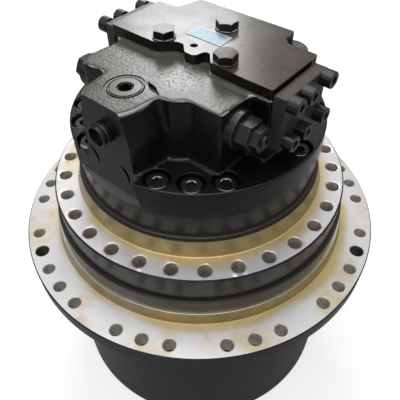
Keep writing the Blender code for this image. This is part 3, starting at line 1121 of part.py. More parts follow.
def add_spool(spindle_axis):
    """Travel valve spool with its lands, between the two end covers."""
    middle = (BODY_LEFT + BODY_RIGHT) / 2
    axis = pivot("spool_axis", (middle, SPOOL_SIDE, SPOOL_Z), spindle_axis)
    land = SPOOL_BORE_RADIUS - SEAT_GAP
    groove = land - SPOOL_GROOVE_DEPTH
    half = SPOOL_LENGTH / 2
    edges = [half * share for share in SPOOL_EDGE_SHARES]
    profile = [(0, half), (groove, half)]
    for upper, lower in ((edges[5], edges[4]), (edges[3], edges[2]), (edges[1], edges[0])):
        profile += [(groove, upper), (land, upper), (land, lower), (groove, lower)]
    profile += [(groove, -half), (0, -half)]
    mesh = laid_along_x(turned(profile, SMALL_STEPS, ring=False))
    add_piece("travel_spool", mesh, "bearing_steel", axis, (middle, SPOOL_SIDE, SPOOL_Z))


def add_end_plates(spindle_axis):
    """The plates that close both ends of the spool bore."""
    foot = CASING_FACE + END_COVER_FOOT
    top = MANIFOLD_TOP
    for name, end, direction in (("left_end_cover", BODY_LEFT, -1), ("right_end_cover", BODY_RIGHT, 1)):
        near = end + direction * SEAT_GAP
        far = near + direction * END_COVER_PLATE
        low = (min(near, far), BODY_FRONT, foot)
        high = (max(near, far), BODY_SIDE, top)
        shape = bevelled_box(low, high, END_COVER_EDGE)
        plate = add_piece(name, shape, "black_paint", spindle_axis, (0, 0, 0))
        pocket = round_rods([(0, 0)], SPOOL_BORE_RADIUS, END_COVER_POCKET + CUT_OVERRUN, SMALL_STEPS)
        place = (near - direction * CUT_OVERRUN, SPOOL_SIDE, SPOOL_Z)
        cut(plate, add_tool(name + "_pocket", laid_along_x(pocket, direction), place))


def manifold_loop():
    """Plan of the manifold cover: straight sides, and bosses round the front bolts and the gauge hole."""
    left_bolt, _, right_bolt = BOLT_PLACES
    gauge_x, gauge_y = GAUGE_PLACE
    right = BODY_RIGHT - MANIFOLD_GAP_RIGHT
    reach = GAUGE_BOSS_RADIUS + MANIFOLD_WAIST
    loop = [(BODY_LEFT, MANIFOLD_FRONT), (left_bolt[0], MANIFOLD_FRONT)]
    loop += [(gauge_x - reach, gauge_y - MANIFOLD_WAIST)]
    loop += arc(GAUGE_PLACE, GAUGE_BOSS_RADIUS, radians(190), radians(330), ARC_STEPS)
    loop += [(gauge_x + reach, gauge_y), (gauge_x + reach + BOLT_HEAD_RADIUS, gauge_y - MANIFOLD_WAIST),
             (right_bolt[0], MANIFOLD_FRONT)]
    loop += [(right, MANIFOLD_FRONT), (right, NOTCH_FRONT)]
    shoulder = BACK_SHOULDER
    corner = (BACK_RIGHT + shoulder, NOTCH_FRONT + shoulder)
    loop += arc(corner, shoulder, radians(270), radians(180), ARC_STEPS)
    loop += [(BACK_RIGHT, BODY_BACK), (BACK_LEFT, BODY_BACK), (BACK_LEFT - shoulder, BODY_SIDE),
             (BODY_LEFT, BODY_SIDE)]
    return loop


def add_manifold_cover(spindle_axis):
    holes = [circle(BOLT_RADIUS + SEAT_GAP, HOLE_STEPS, place) for place in BOLT_PLACES]
    holes.append(circle(GAUGE_RADIUS, HOLE_STEPS, GAUGE_PLACE))
    mesh = prism([manifold_loop()] + holes, MANIFOLD_THICKNESS)
    add_piece("manifold_cover", mesh, "black_paint", spindle_axis, (0, 0, MANIFOLD_BOTTOM))
    head_foot = MANIFOLD_TOP + SEAT_GAP
    shank_foot = BLOCK_FACE - BOLT_DEPTH + SEAT_GAP
    for number, (x, y) in enumerate(BOLT_PLACES, 1):
        head = round_rods([(0, 0)], BOLT_HEAD_RADIUS, BOLT_HEAD_HEIGHT, HEX_STEPS)
        bolt = add_piece(f"manifold_bolt_{number}", head, "black_paint", spindle_axis, (x, y, head_foot))
        shank = round_rods([(0, 0)], BOLT_RADIUS - SEAT_GAP, head_foot + JOIN_OVERLAP - shank_foot)
        join(bolt, add_tool(f"manifold_bolt_{number}_shank", shank, (x, y, shank_foot)))


def build_drive():
    spindle_axis = pivot("spindle_axis", (0, 0, 0))
    hub_axis = pivot("hub_axis", (0, 0, 0), spindle_axis)
    carrier_axis = pivot("carrier_axis", (0, 0, 0), spindle_axis)
    shaft_axis = pivot("shaft_axis", (0, 0, 0), spindle_axis)
    add_end_cover(hub_axis)
    add_ring_gear(hub_axis)
    add_hub(hub_axis)
    add_bearing("lower_bearing", LOWER_BEARING, True, spindle_axis, hub_axis)
    add_bearing("upper_bearing", UPPER_BEARING, False, spindle_axis, hub_axis)
    add_seal(spindle_axis, hub_axis)
    add_spindle_housing(spindle_axis)
    add_second_carrier(spindle_axis)
    add_planets(2, PLANET_2_BOTTOM, PLANET_2_WIDTH, PIN_2_RADIUS, spindle_axis)
    add_first_carrier(carrier_axis)
    add_planets(1, PLANET_1_BOTTOM, PLANET_1_WIDTH, PIN_1_RADIUS, carrier_axis)
    add_drive_shafts(shaft_axis)
    add_shaft_supports(spindle_axis)
    add_cylinder_block(shaft_axis, spindle_axis)
    add_brake_piston(spindle_axis)
    add_swash(spindle_axis)
    add_rear_casing(spindle_axis)
    add_port_plugs(spindle_axis)
    add_cartridges(spindle_axis)
    add_spool(spindle_axis)
    add_end_plates(spindle_axis)
    add_manifold_cover(spindle_axis)


build_drive()
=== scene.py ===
# Excavator final drive with its travel motor, dressed for its portrait.
# The loaded model is the frame: the pieces below stand on it, in its metres, and replace its outer nodes.

import math

import bmesh
import bpy
from mathutils import Matrix, Vector


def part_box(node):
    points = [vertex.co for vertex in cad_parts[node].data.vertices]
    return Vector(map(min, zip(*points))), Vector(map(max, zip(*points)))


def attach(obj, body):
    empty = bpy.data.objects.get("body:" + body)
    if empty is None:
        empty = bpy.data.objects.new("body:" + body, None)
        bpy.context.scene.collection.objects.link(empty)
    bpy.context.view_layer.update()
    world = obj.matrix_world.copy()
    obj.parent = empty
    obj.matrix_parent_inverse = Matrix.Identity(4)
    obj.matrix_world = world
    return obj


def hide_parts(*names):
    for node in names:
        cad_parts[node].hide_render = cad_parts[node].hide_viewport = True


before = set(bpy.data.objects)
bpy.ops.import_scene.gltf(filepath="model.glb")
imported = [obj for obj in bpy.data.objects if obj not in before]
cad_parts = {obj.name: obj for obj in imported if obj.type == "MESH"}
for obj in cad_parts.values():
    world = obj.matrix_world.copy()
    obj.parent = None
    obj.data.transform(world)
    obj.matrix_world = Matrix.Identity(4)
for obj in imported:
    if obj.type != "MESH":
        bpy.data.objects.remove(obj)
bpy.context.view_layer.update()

mm = 0.001
turn = 2 * math.pi
fine = {"round": 192, "small": 48, "hole": 32, "ease": 4}     # facets of round shapes


# Shader helpers

class Wire:
    # One output socket. A sum written with it adds Math nodes to its finish.
    def __init__(self, finish, socket):
        self.finish = finish
        self.socket = socket

    def sum(self, operation, first, second=0.0):
        return self.finish.node("ShaderNodeMath", {"operation": operation}, {0: first, 1: second})

    def __add__(self, other):
        return self.sum("ADD", self, other)

    def __radd__(self, other):
        return self.sum("ADD", other, self)

    def __sub__(self, other):
        return self.sum("SUBTRACT", self, other)

    def __rsub__(self, other):
        return self.sum("SUBTRACT", other, self)

    def __mul__(self, other):
        return self.sum("MULTIPLY", self, other)

    def __truediv__(self, other):
        return self.sum("DIVIDE", self, other)

    def __pow__(self, other):
        return self.sum("POWER", self, other)

    def clamped(self, low, high):
        # 0 at low, 1 at high, smooth between
        return self.finish.node(
            "ShaderNodeMapRange", {"interpolation_type": "SMOOTHSTEP"},
            {"Value": self, "From Min": low, "From Max": high})


class Finish:
    # A material being built: one Principled shader and the nodes that feed it.
    def __init__(self, name, **settings):
        self.material = bpy.data.materials.new(name)
        self.material.use_nodes = True
        self.tree = self.material.node_tree
        self.tree.nodes.clear()
        output = self.tree.nodes.new("ShaderNodeOutputMaterial")
        self.shader = self.tree.nodes.new("ShaderNodeBsdfPrincipled")
        self.tree.links.new(self.shader.outputs[0], output.inputs["Surface"])
        self.set(**settings)

    def set(self, **settings):
        for name, value in settings.items():
            self.plug(self.shader.inputs[name.replace("_", " ")], value)

    def plug(self, socket, value):
        if isinstance(value, Wire):
            self.tree.links.new(value.socket, socket)
        elif socket.type == "RGBA" and len(value) == 3:
            socket.default_value = (*value, 1)
        else:
            socket.default_value = value

    def node(self, kind, settings=None, sockets=None, output=0):
        made = self.tree.nodes.new(kind)
        for name, value in (settings or {}).items():
            if name == "stops":
                self.setStops(made.color_ramp, value)
            else:
                setattr(made, name, value)
        for name, value in (sockets or {}).items():
            self.plug(made.inputs[name], value)
        return Wire(self, made.outputs[output])

    def setStops(self, ramp, stops):
        while len(ramp.elements) < len(stops):
            ramp.elements.new(0.5)
        for element, (place, colour) in zip(ramp.elements, stops):
            element.position = place
            element.color = (*colour, 1)

    def place(self):
        return self.node("ShaderNodeTexCoord", output="Object")

    def along(self, axis):
        return self.node("ShaderNodeSeparateXYZ", None, {0: self.place()}, axis)

    def radius(self):
        x, y = self.along("X"), self.along("Y")
        return (x * x + y * y) ** 0.5

    def upward(self):
        normal = self.node("ShaderNodeNewGeometry", output="Normal")
        return self.node("ShaderNodeSeparateXYZ", None, {0: normal}, "Z")

    def noise(self, size, detail=2.0, rough=0.5, stretch=(1, 1, 1)):
        # cloudy values from 0 to 1, with lumps of about the given size in metres
        place = self.node("ShaderNodeVectorMath", {"operation": "MULTIPLY"}, {0: self.place(), 1: stretch})
        return self.node("ShaderNodeTexNoise", None,
                         {"Vector": place, "Scale": 1 / size, "Detail": detail, "Roughness": rough}, "Fac")

    def rings(self, size, detail):
        # lathe marks: values that change only with the distance from the axis
        return self.node("ShaderNodeTexNoise", {"noise_dimensions": "1D"},
                         {"W": self.radius(), "Scale": 1 / size, "Detail": detail}, "Fac")

    def mix(self, mask, first, second):
        return self.node("ShaderNodeMix", {"data_type": "RGBA"}, {0: mask, 6: first, 7: second}, 2)

    def bump(self, height, depth, strength=1.0, under=None):
        sockets = {"Height": height, "Distance": depth, "Strength": strength}
        if under:
            sockets["Normal"] = under
        return self.node("ShaderNodeBump", None, sockets)


# Mesh helpers

def loose(name, mesh):
    piece = bpy.data.objects.new(name, mesh)
    bpy.context.scene.collection.objects.link(piece)
    return piece


def settle(piece):
    # apply the modifiers of a piece
    bpy.context.view_layer.update()
    seen = piece.evaluated_get(bpy.context.evaluated_depsgraph_get())
    mesh = bpy.data.meshes.new_from_object(seen)
    piece.modifiers.clear()
    old = piece.data
    piece.data = mesh
    bpy.data.meshes.remove(old)
    return piece


def shape(piece, kind, **settings):
    modifier = piece.modifiers.new(kind.lower(), kind)
    for name, value in settings.items():
        setattr(modifier, name, value)
    return settle(piece)


def carve(piece, *tools, operation="DIFFERENCE"):
    for tool in tools:
        shape(piece, "BOOLEAN", operation=operation, solver="EXACT", object=tool)
        bpy.data.meshes.remove(tool.data)
    return piece


def weld(piece, *tools):
    return carve(piece, *tools, operation="UNION")


def eased(corners):
    # corner points, each with an optional radius that rounds it
    line = []
    steps = fine["ease"]
    for number, corner in enumerate(corners):
        here = Vector(corner[:2])
        radius = corner[2] if len(corner) > 2 else 0
        if not radius:
            line.append(tuple(here))
            continue
        before = (Vector(corners[number - 1][:2]) - here).normalized()
        after = (Vector(corners[(number + 1) % len(corners)][:2]) - here).normalized()
        half = before.angle(after) / 2
        centre = here + (before + after).normalized() * radius / math.sin(half)
        reach = radius / math.tan(half)
        first, last = here + before * reach - centre, here + after * reach - centre
        for step in range(steps + 1):
            line.append(tuple(centre + radius * first.slerp(last, step / steps)))
    return line


def fromShape(name, made):
    bmesh.ops.remove_doubles(made, verts=made.verts, dist=0.002 * mm)
    bmesh.ops.recalc_face_normals(made, faces=made.faces)
    mesh = bpy.data.meshes.new(name)
    made.to_mesh(mesh)
    made.free()
    return mesh


def turned(name, corners, steps=0, ring=False):
    # (radius, height) corners turned about Z; a ring's profile closes on itself
    line = eased(corners)
    made = bmesh.new()
    points = [made.verts.new((radius, 0, height)) for radius, height in line]
    pairs = list(zip(points, points[1:]))
    if ring:
        pairs.append((points[-1], points[0]))
    edges = [made.edges.new(pair) for pair in pairs]
    bmesh.ops.spin(made, geom=points + edges, cent=(0, 0, 0), axis=(0, 0, 1), angle=turn,
                   steps=steps or fine["round"], use_merge=True)
    return loose(name, fromShape(name, made))


def prism(name, loop, low, high):
    made = bmesh.new()
    face = made.faces.new([made.verts.new((x, y, low)) for x, y in loop])
    raised = bmesh.ops.extrude_face_region(made, geom=[face])["geom"]
    points = [item for item in raised if isinstance(item, bmesh.types.BMVert)]
    bmesh.ops.translate(made, verts=points, vec=(0, 0, high - low))
    return loose(name, fromShape(name, made))


def copies(name, pattern, places):
    # one mesh with a copy of the pattern at each place, given as a matrix
    made = bmesh.new()
    for place in places:
        mesh = pattern.data.copy()
        mesh.transform(place)
        made.from_mesh(mesh)
        bpy.data.meshes.remove(mesh)
    mesh = bpy.data.meshes.new(name)
    made.to_mesh(mesh)
    made.free()
    bpy.data.meshes.remove(pattern.data)
    return loose(name, mesh)


def moved(piece, matrix):
    piece.data.transform(matrix)
    return piece


def at(x, y, z=0.0):
    return Matrix.Translation((x, y, z))


def laidX(direction=1):
    # lays a piece that stands on the XY plane along X; laidY does so along Y
    return Matrix.Rotation(direction * math.pi / 2, 4, "Y")


def laidY(direction):
    return Matrix.Rotation(-direction * math.pi / 2, 4, "X")


def polar(radius, degrees):
    angle = math.radians(degrees)
    return radius * math.cos(angle), radius * math.sin(angle)


def ring(radius, steps, centre=(0, 0), start=0.0):
    turns = [start + turn * step / steps for step in range(steps)]
    return [(centre[0] + radius * math.cos(a), centre[1] + radius * math.sin(a)) for a in turns]


def finished(piece, body, finishes, replaced=(), pick=None, angle=32):
    # shade, paint and hand the piece to its body
    mesh = piece.data
    mesh.materials.clear()
    for finish in finishes if isinstance(finishes, list) else [finishes]:
        mesh.materials.append(finish)
    if pick:
        for face in mesh.polygons:
            face.material_index = pick(face.center, face.normal)
    mesh.shade_smooth()
    mesh.set_sharp_from_angle(angle=math.radians(angle))
    shape(piece, "WEIGHTED_NORMAL", keep_sharp=True)
    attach(piece, body)
    if replaced:
        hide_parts(*replaced)
    return piece


# Finishes

steel = {
    "clean": (0.72, 0.71, 0.715), "filmAndSheen": (0.60, 0.48, 0.24), "stain": (0.20, 0.145, 0.08),
    "cloud": 26 * mm, "area": 105 * mm, "ringSize": 0.7 * mm, "ringDepth": 0.012 * mm,
    "roughness": 0.38, "roughnessSpread": 0.16, "ringSpread": 0.1, "metallic": 0.65,
    "areaPull": 2.4, "cloudPull": 0.9, "sideSheenPull": 2.5, "stainWidth": 3 * mm, "clearWidth": 7 * mm,
}


def machinedSteel(name, foot, reach, patches, stained=0.0, clear=1.0):
    # turned steel with a dried oil film: golden from the boss outwards and in patches, and more golden toward
    # +X as a painted golden sheen; brown at the boss foot and clean beyond the clear radius
    made = Finish(name, Metallic=steel["metallic"])
    radius = made.radius()
    cloud = made.noise(steel["cloud"], 4.0, 0.6)
    area = made.noise(steel["area"], 1.5)
    near = ((foot + reach - radius) / reach + (area - 0.5) * steel["areaPull"]
            + (cloud - 0.5) * steel["cloudPull"] + made.along("X") * steel["sideSheenPull"])
    spots = (area * 0.6 + cloud * 0.4).clamped(0.48, 0.66) * patches
    filmAndSheen = made.node("ShaderNodeMath", {"operation": "MAXIMUM"}, {0: near.clamped(0.0, 1.1), 1: spots})
    filmAndSheen = filmAndSheen * ((clear - radius) / steel["clearWidth"] + (cloud - 0.5) * 1.2).clamped(0.0, 1.0)
    stain = ((foot + 1.5 * mm - radius) / steel["stainWidth"]).clamped(0.0, 1.0) * (0.5 + cloud * 0.6)
    if stained:
        stain = (cloud.clamped(0.25, 0.75) * 0.45 + 0.55) * stained
    colour = made.mix(stain, made.mix(filmAndSheen, steel["clean"], steel["filmAndSheen"]), steel["stain"])
    rings = made.rings(steel["ringSize"], 2.0)
    rough = (steel["roughness"] + (cloud - 0.5) * steel["roughnessSpread"]
             + (rings - 0.5) * steel["ringSpread"])
    made.set(Base_Color=colour, Roughness=rough, Normal=made.bump(rings, steel["ringDepth"]))
    return made.material


def tappedSteel(name, pitch):
    # walls of drilled and tapped holes: fine ridges round the hole
    made = Finish(name, Metallic=0.45)
    cloud = made.noise(6 * mm, 3.0)
    ridge = made.node("ShaderNodeMath", {"operation": "SINE"}, {0: made.along("Z") * (turn / pitch)})
    made.set(Base_Color=made.mix(cloud.clamped(0.3, 0.75), (0.78, 0.75, 0.70), (0.50, 0.46, 0.38)),
             Roughness=0.30 + (cloud - 0.5) * 0.2, Normal=made.bump(ridge, 0.10 * mm, 0.7))
    return made.material


paint = {
    "black": (0.0075, 0.007, 0.0065), "dustAndSheen": (0.090, 0.085, 0.072), "brown": (0.055, 0.036, 0.029),
    "level": 0.32, "roughness": 0.17, "dustAndSheenFoot": (0.48, 0.535), "worn": (0.50, 0.50, 0.51),
    "patchHighlightColour": (0.52, 0.52, 0.51), "grain": 3.2 * mm, "grainDepth": 0.46 * mm,
    "highlightPatch": (28 * mm, -62 * mm), "highlightPatchSize": 30 * mm, "wave": 14 * mm, "waveDepth": 0.3 * mm,
    "plateLevel": (0.546, 0.552), "brownFrom": (0.025, 0.085), "levelFace": (0.7, 0.98),
}


def blackPaint(name, cast=1.0, dustAndSheenGain=1.0, roughness=0.0, colour=None, worn=0.0, highlightPatch=0.0, filmAndSheen=None):
    # glossy black enamel; the level faces high on the motor get a light colour, a thin oily dust and a
    # painted sheen of the bright sky, brown toward +X
    made = Finish(name, Metallic=0.0, Specular_IOR_Level=paint["level"])
    cloud = made.noise(24 * mm, 3.0)
    high = made.along("Z").clamped(*paint["dustAndSheenFoot"])
    up = made.upward()
    # painted reflection: up-facing faces above the foot height are lightened as if they mirrored the sky
    dustAndSheen = up.clamped(*paint["levelFace"]) * (0.45 + cloud * 0.8) * high * dustAndSheenGain
    side = made.along("X") + (cloud - 0.5) * (40 * mm)
    topmost = made.along("Z").clamped(*paint["plateLevel"])
    dustAndSheenTint = made.mix(side.clamped(*paint["brownFrom"]) * topmost, filmAndSheen or paint["dustAndSheen"], paint["brown"])
    shade = made.mix(dustAndSheen, colour or paint["black"], dustAndSheenTint)
    if worn:
        # painted highlight on the rounded edges and fillets, told by their slope
        edgeHighlightMask = up.clamped(0.2, 0.5) * (1.0 - up.clamped(0.72, 0.9))
        shade = made.mix(edgeHighlightMask * high * worn, shade, paint["worn"])
    grain = made.noise(paint["grain"], 3.0, 0.65)
    if highlightPatch:
        # a rougher patch of the casting whose level faces get a speckled light colour: a painted highlight
        x, y = made.along("X") - paint["highlightPatch"][0], made.along("Y") - paint["highlightPatch"][1]
        size = paint["highlightPatchSize"]
        near = 1.0 - ((x * x + y * y) ** 0.5).clamped(0.3 * size, 1.1 * size)
        patchHighlightMask = near * up.clamped(*paint["levelFace"]) * high * grain.clamped(0.36, 0.52)
        shade = made.mix(patchHighlightMask, shade, paint["patchHighlightColour"])
        grain = grain * (1.0 + near * highlightPatch)
    made.set(Base_Color=shade)
    wave = made.noise(paint["wave"], 2.0)
    base = roughness or paint["roughness"]
    made.set(Roughness=base + (cloud - 0.5) * 0.10 + dustAndSheen * 0.12,
             Normal=made.bump(grain, paint["grainDepth"] * cast, 1.0,
                              made.bump(wave, paint["waveDepth"] * cast)))
    return made.material


oxide = {"colour": (0.055, 0.054, 0.058), "worn": (0.34, 0.33, 0.32), "roughness": 0.3}


def blackOxide(name):
    made = Finish(name, Metallic=0.85)
    cloud = made.noise(5 * mm, 3.0)
    worn = cloud.clamped(0.62, 0.8) * 0.2
    made.set(Base_Color=made.mix(worn, oxide["colour"], oxide["worn"]),
             Roughness=oxide["roughness"] + (cloud - 0.5) * 0.2,
             Normal=made.bump(made.noise(0.8 * mm, 2.0), 0.01 * mm))
    return made.material


plain = {"cloud": 14 * mm, "dark": 0.55, "grain": 1.2 * mm, "grainDepth": 0.01 * mm}


def plainSteel(name, colour, roughness):
    # ground or cut steel of the inner pieces
    made = Finish(name, Metallic=1.0)
    cloud = made.noise(plain["cloud"], 3.0)
    shade = made.mix(cloud.clamped(0.3, 0.8) * 0.5, colour, tuple(c * plain["dark"] for c in colour))
    made.set(Base_Color=shade, Roughness=roughness + (cloud - 0.5) * 0.16,
             Normal=made.bump(made.noise(plain["grain"], 2.0, 0.6, (1, 1, 8)), plain["grainDepth"]))
    return made.material


def flatSurface(name, colour, other, roughness, size, depth):
    # a matt material with cloudy colour: rubber, lining, nameplate, oiled thread
    made = Finish(name, Metallic=0.0)
    cloud = made.noise(size, 4.0, 0.65)
    made.set(Base_Color=made.mix(cloud.clamped(0.25, 0.75), colour, other),
             Roughness=roughness + (cloud - 0.5) * 0.15, Normal=made.bump(cloud, depth))
    return made.material


print("finishes")
castPaint = blackPaint("cast_black_paint")
casingPaint = blackPaint("casing_black_paint", worn=1.0, highlightPatch=1.6)
platePaint = blackPaint("plate_black_paint", cast=0.12, worn=0.6)
smoothPaint = blackPaint("smooth_black_paint", cast=0.15, dustAndSheenGain=0.6, roughness=0.24,
                         colour=(0.034, 0.031, 0.026))
rimPaint = blackPaint("rim_black_paint", cast=0.15, dustAndSheenGain=0.5, roughness=0.3)
edgePaint = blackPaint("rim_edge_paint", cast=0.05, dustAndSheenGain=0.0, roughness=0.3, colour=(0.008, 0.010, 0.028))
tapped = tappedSteel("tapped_hole_steel", 1.5 * mm)
screwOxide = blackOxide("screw_oxide")
valveOxide = blackOxide("valve_oxide")
# lighter steel for the casing screw chamfers: a painted highlight
chamferHighlightSteel = plainSteel("worn_screw_steel", (0.42, 0.43, 0.46), 0.22)
jackThread = flatSurface("jack_thread_oil", (0.055, 0.055, 0.040), (0.12, 0.115, 0.085), 0.4,
                         3 * mm, 0.1 * mm)
shoulderSteel = plainSteel("shoulder_steel", (0.74, 0.70, 0.60), 0.3)
bearingSteel = plainSteel("ground_bearing_steel", (0.62, 0.62, 0.63), 0.2)
gearSteel = plainSteel("cut_gear_steel", (0.40, 0.39, 0.38), 0.34)
innerSteel = plainSteel("bored_steel", (0.52, 0.51, 0.50), 0.36)
lining = flatSurface("friction_lining", (0.17, 0.11, 0.07), (0.10, 0.07, 0.05), 0.8, 1.5 * mm, 0.06 * mm)
rubber = flatSurface("seal_rubber", (0.02, 0.02, 0.02), (0.035, 0.034, 0.032), 0.55, 2 * mm, 0.03 * mm)
castIron = blackPaint("cover_black_paint", cast=0.25, dustAndSheenGain=0.9, roughness=0.38, colour=(0.042, 0.040, 0.038))

slotFinishes = {
    "machined_steel": innerSteel, "bearing_steel": bearingSteel, "gear_steel": gearSteel,
    "dark_cast_iron": castIron, "black_paint": castPaint, "black_oxide": screwOxide,
    "seal_rubber": rubber, "friction_lining": lining,
}


def boxOf(node):
    low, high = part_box(node)
    return Vector(low), Vector(high)


def nodeMesh(node, name):
    # a loose copy of a CAD node, to be refined
    return loose(name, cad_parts[node].data.copy())


def spread(point):
    return math.hypot(point.x, point.y)


def rounded(piece, width, segments):
    return shape(piece, "BEVEL", width=width, segments=segments, limit_method="ANGLE",
                 angle_limit=math.radians(30), use_clamp_overlap=True)


def drill(name, radius, chamfer, bottom, top, places, steps=0):
    # cutter for a set of holes, each with a chamfered mouth at the top
    mouth = top + chamfer / 2
    corners = [(0, bottom), (radius, bottom), (radius, top - chamfer), (radius + 1.5 * chamfer, mouth),
               (0, mouth)]
    one = turned(name + "One", corners, steps or fine["hole"])
    return copies(name, one, [at(x, y) for x, y in places])


print("hub")
hubSize = {
    "neck": 200 * mm, "neckTop": 338 * mm, "step": 317 * mm, "shoulder": 203 * mm, "pilot": 206 * mm,
    "face": 300 * mm, "rim": 250 * mm, "rimFoot": 276 * mm, "under": 223 * mm, "underFoot": 270 * mm,
    "body": 216 * mm, "bodyTop": 255 * mm, "foot": 190.3 * mm, "sealBore": 183 * mm, "sealFloor": 303 * mm,
    "bore": 160 * mm, "rib": 152 * mm, "ribTop": 262 * mm, "ribFoot": 248.6 * mm,
    "holes": 234.5 * mm, "hole": 7.8 * mm, "jack": 9 * mm, "places": 44, "start": 219.6,
    "free": (1, 7, 11, 15, 21, 25, 29, 33, 37, 41), "jacks": (3, 19), "chamfer": 0.8 * mm, "edge": 1.4 * mm,
    "drillFoot": 240 * mm,
}


def makeHub(s):
    edge = s["edge"]
    corners = [
        (s["sealBore"], s["neckTop"], 0.6 * mm), (s["neck"], s["neckTop"], edge), (s["neck"], s["step"]),
        (s["shoulder"], s["step"], 0.5 * mm), (s["pilot"], s["face"], 0.8 * mm), (s["rim"] - edge, s["face"]),
        (s["rim"], s["face"] - edge),
        (s["rim"], s["rimFoot"], 2.5 * mm), (s["under"], s["underFoot"], 3 * mm),
        (s["body"], s["bodyTop"], 8 * mm), (s["body"], s["foot"], 0.6 * mm), (s["bore"], s["foot"]),
        (s["bore"], s["ribFoot"]), (s["rib"], s["ribFoot"]), (s["rib"], s["ribTop"]),
        (s["bore"], s["ribTop"]), (s["bore"], s["sealFloor"]), (s["sealBore"], s["sealFloor"])]
    hub = turned("hub_casting", corners, ring=True)
    plain, jack = [], []
    for place in range(s["places"]):
        if place not in s["free"]:
            spot = polar(s["holes"], s["start"] + 360 * place / s["places"])
            (jack if place in s["jacks"] else plain).append(spot)
    carve(hub, drill("plainHoles", s["hole"], s["chamfer"], s["drillFoot"], s["face"], plain),
          drill("jackHoles", s["jack"], s["chamfer"], s["drillFoot"], s["face"], jack))

    def pick(center, normal):
        far = spread(center)
        if far > s["rim"] - edge + 0.02 * mm:
            return 5 if center.z > s["face"] - edge - 0.1 * mm else 1
        if far < s["neck"] + 0.2 * mm and center.z > s["step"] + 0.3 * mm:
            return 3
        if center.z > s["face"] + 1.2 * mm:
            return 2 if normal.z < 0.6 else 6
        if abs(far - s["holes"]) < 10 * mm and abs(normal.z) < 0.5 and center.z > s["rimFoot"]:
            return 7 if min(math.hypot(center.x - x, center.y - y) for x, y in jack) < 10 * mm else 4
        return 0 if center.z > s["face"] - 1.1 * mm else 1

    return finished(hub, "hub", [
        machinedSteel("sprocket_face_steel", s["pilot"], 12 * mm, 0.75), rimPaint,
        machinedSteel("boss_steel", s["pilot"], 30 * mm, 0.5, 0.75), smoothPaint, tapped, edgePaint,
        shoulderSteel, jackThread], ["hub"], pick)


makeHub(hubSize)

print("ring gear and end cover")
coverSize = {
    "outer": 214.05 * mm, "inner": 200 * mm, "top": 40 * mm, "step": 14 * mm, "stepIn": 180 * mm,
    "pad": 178 * mm, "plugCircle": 125 * mm, "plug": 13 * mm, "plugAngles": (30, 150), "plugDepth": 28 * mm,
    "screws": 24, "screwCircle": 197 * mm, "screwHead": 9 * mm, "screwHigh": 12 * mm,
    "plugSocket": 6.9 * mm, "plugEdge": 0.8 * mm,
}


def makeRing(s):
    low, high = boxOf("ring_gear")
    gear = nodeMesh("ring_gear", "ring_gear_toothed")
    sleeve = turned("gearSleeve", [
        (s["inner"], high.z), (s["outer"], high.z, 0.8 * mm), (s["outer"], low.z, 0.8 * mm),
        (s["inner"], low.z)], ring=True)
    weld(gear, sleeve)
    finished(gear, "hub", [gearSteel, castPaint], ["ring_gear"],
             lambda center, normal: int(spread(center) > s["inner"] + 5 * mm), angle=20)


def capScrew(name, head, high, socket=0.0, edge=0.0):
    # socket head cap screw that stands on the XY plane, head up
    edge = edge or 0.09 * head
    screw = turned(name, [(0, 0), (head, 0), (head, high - edge), (head - edge, high), (0, high)],
                   fine["small"])
    socket = socket or 0.5 * head
    mouth = turned(name + "Mouth", [
        (0, high - 0.5 * socket), (0.7 * socket, high - 0.35 * socket),
        (1.3 * socket, high + 0.25 * socket), (0, high + 0.25 * socket)], fine["hole"])
    key = prism(name + "Key", ring(socket, 6), high * 0.45, high + 2 * mm)
    return carve(screw, key, mouth)


def makeCover(s):
    cover = turned("end_cover_casting", [
        (0, s["top"]), (s["outer"], s["top"], 0.8 * mm), (s["outer"], s["step"], 2 * mm),
        (s["stepIn"], s["step"], 2 * mm), (s["pad"], 0, 1.2 * mm), (0, 0)])
    places = [polar(s["plugCircle"], angle) for angle in s["plugAngles"]]
    holes = copies("plugHoles", prism("plugHole", ring(s["plug"], fine["small"]), -5 * mm, s["plugDepth"]),
                   [at(x, y) for x, y in places])
    carve(cover, holes)
    finished(cover, "hub", [castPaint], ["end_cover"])
    flip = Matrix.Rotation(math.pi, 4, "X")
    places = [polar(s["screwCircle"], (number + 0.5) * 360 / s["screws"]) for number in range(s["screws"])]
    screws = copies("end_cover_screws", capScrew("coverScrew", s["screwHead"], s["screwHigh"]),
                    [at(x, y, s["step"]) @ flip for x, y in places])
    finished(screws, "hub", [screwOxide])
    for name in ("drain_plug", "level_plug"):
        low, high = boxOf(name)
        middle = (low + high) / 2
        plug = capScrew(name + "_fine", (high.x - low.x) / 2, high.z - low.z,
                        s["plugSocket"], s["plugEdge"])
        moved(plug, at(middle.x, middle.y, high.z) @ flip)
        finished(plug, "hub", [screwOxide], [name])


makeRing(coverSize)
makeCover(coverSize)

print("spindle housing")
spindleSize = {
    "core": 130 * mm, "foot": 340 * mm, "rim": 195.4 * mm, "face": 375 * mm, "pilot": 163 * mm,
    "boss": 158.3 * mm, "ledge": 398 * mm, "barrel": 152.5 * mm, "joint": 433 * mm, "edge": 1.9 * mm,
    "holes": 181.2 * mm, "hole": 8.4 * mm, "count": 30, "chamfer": 0.9 * mm,
}


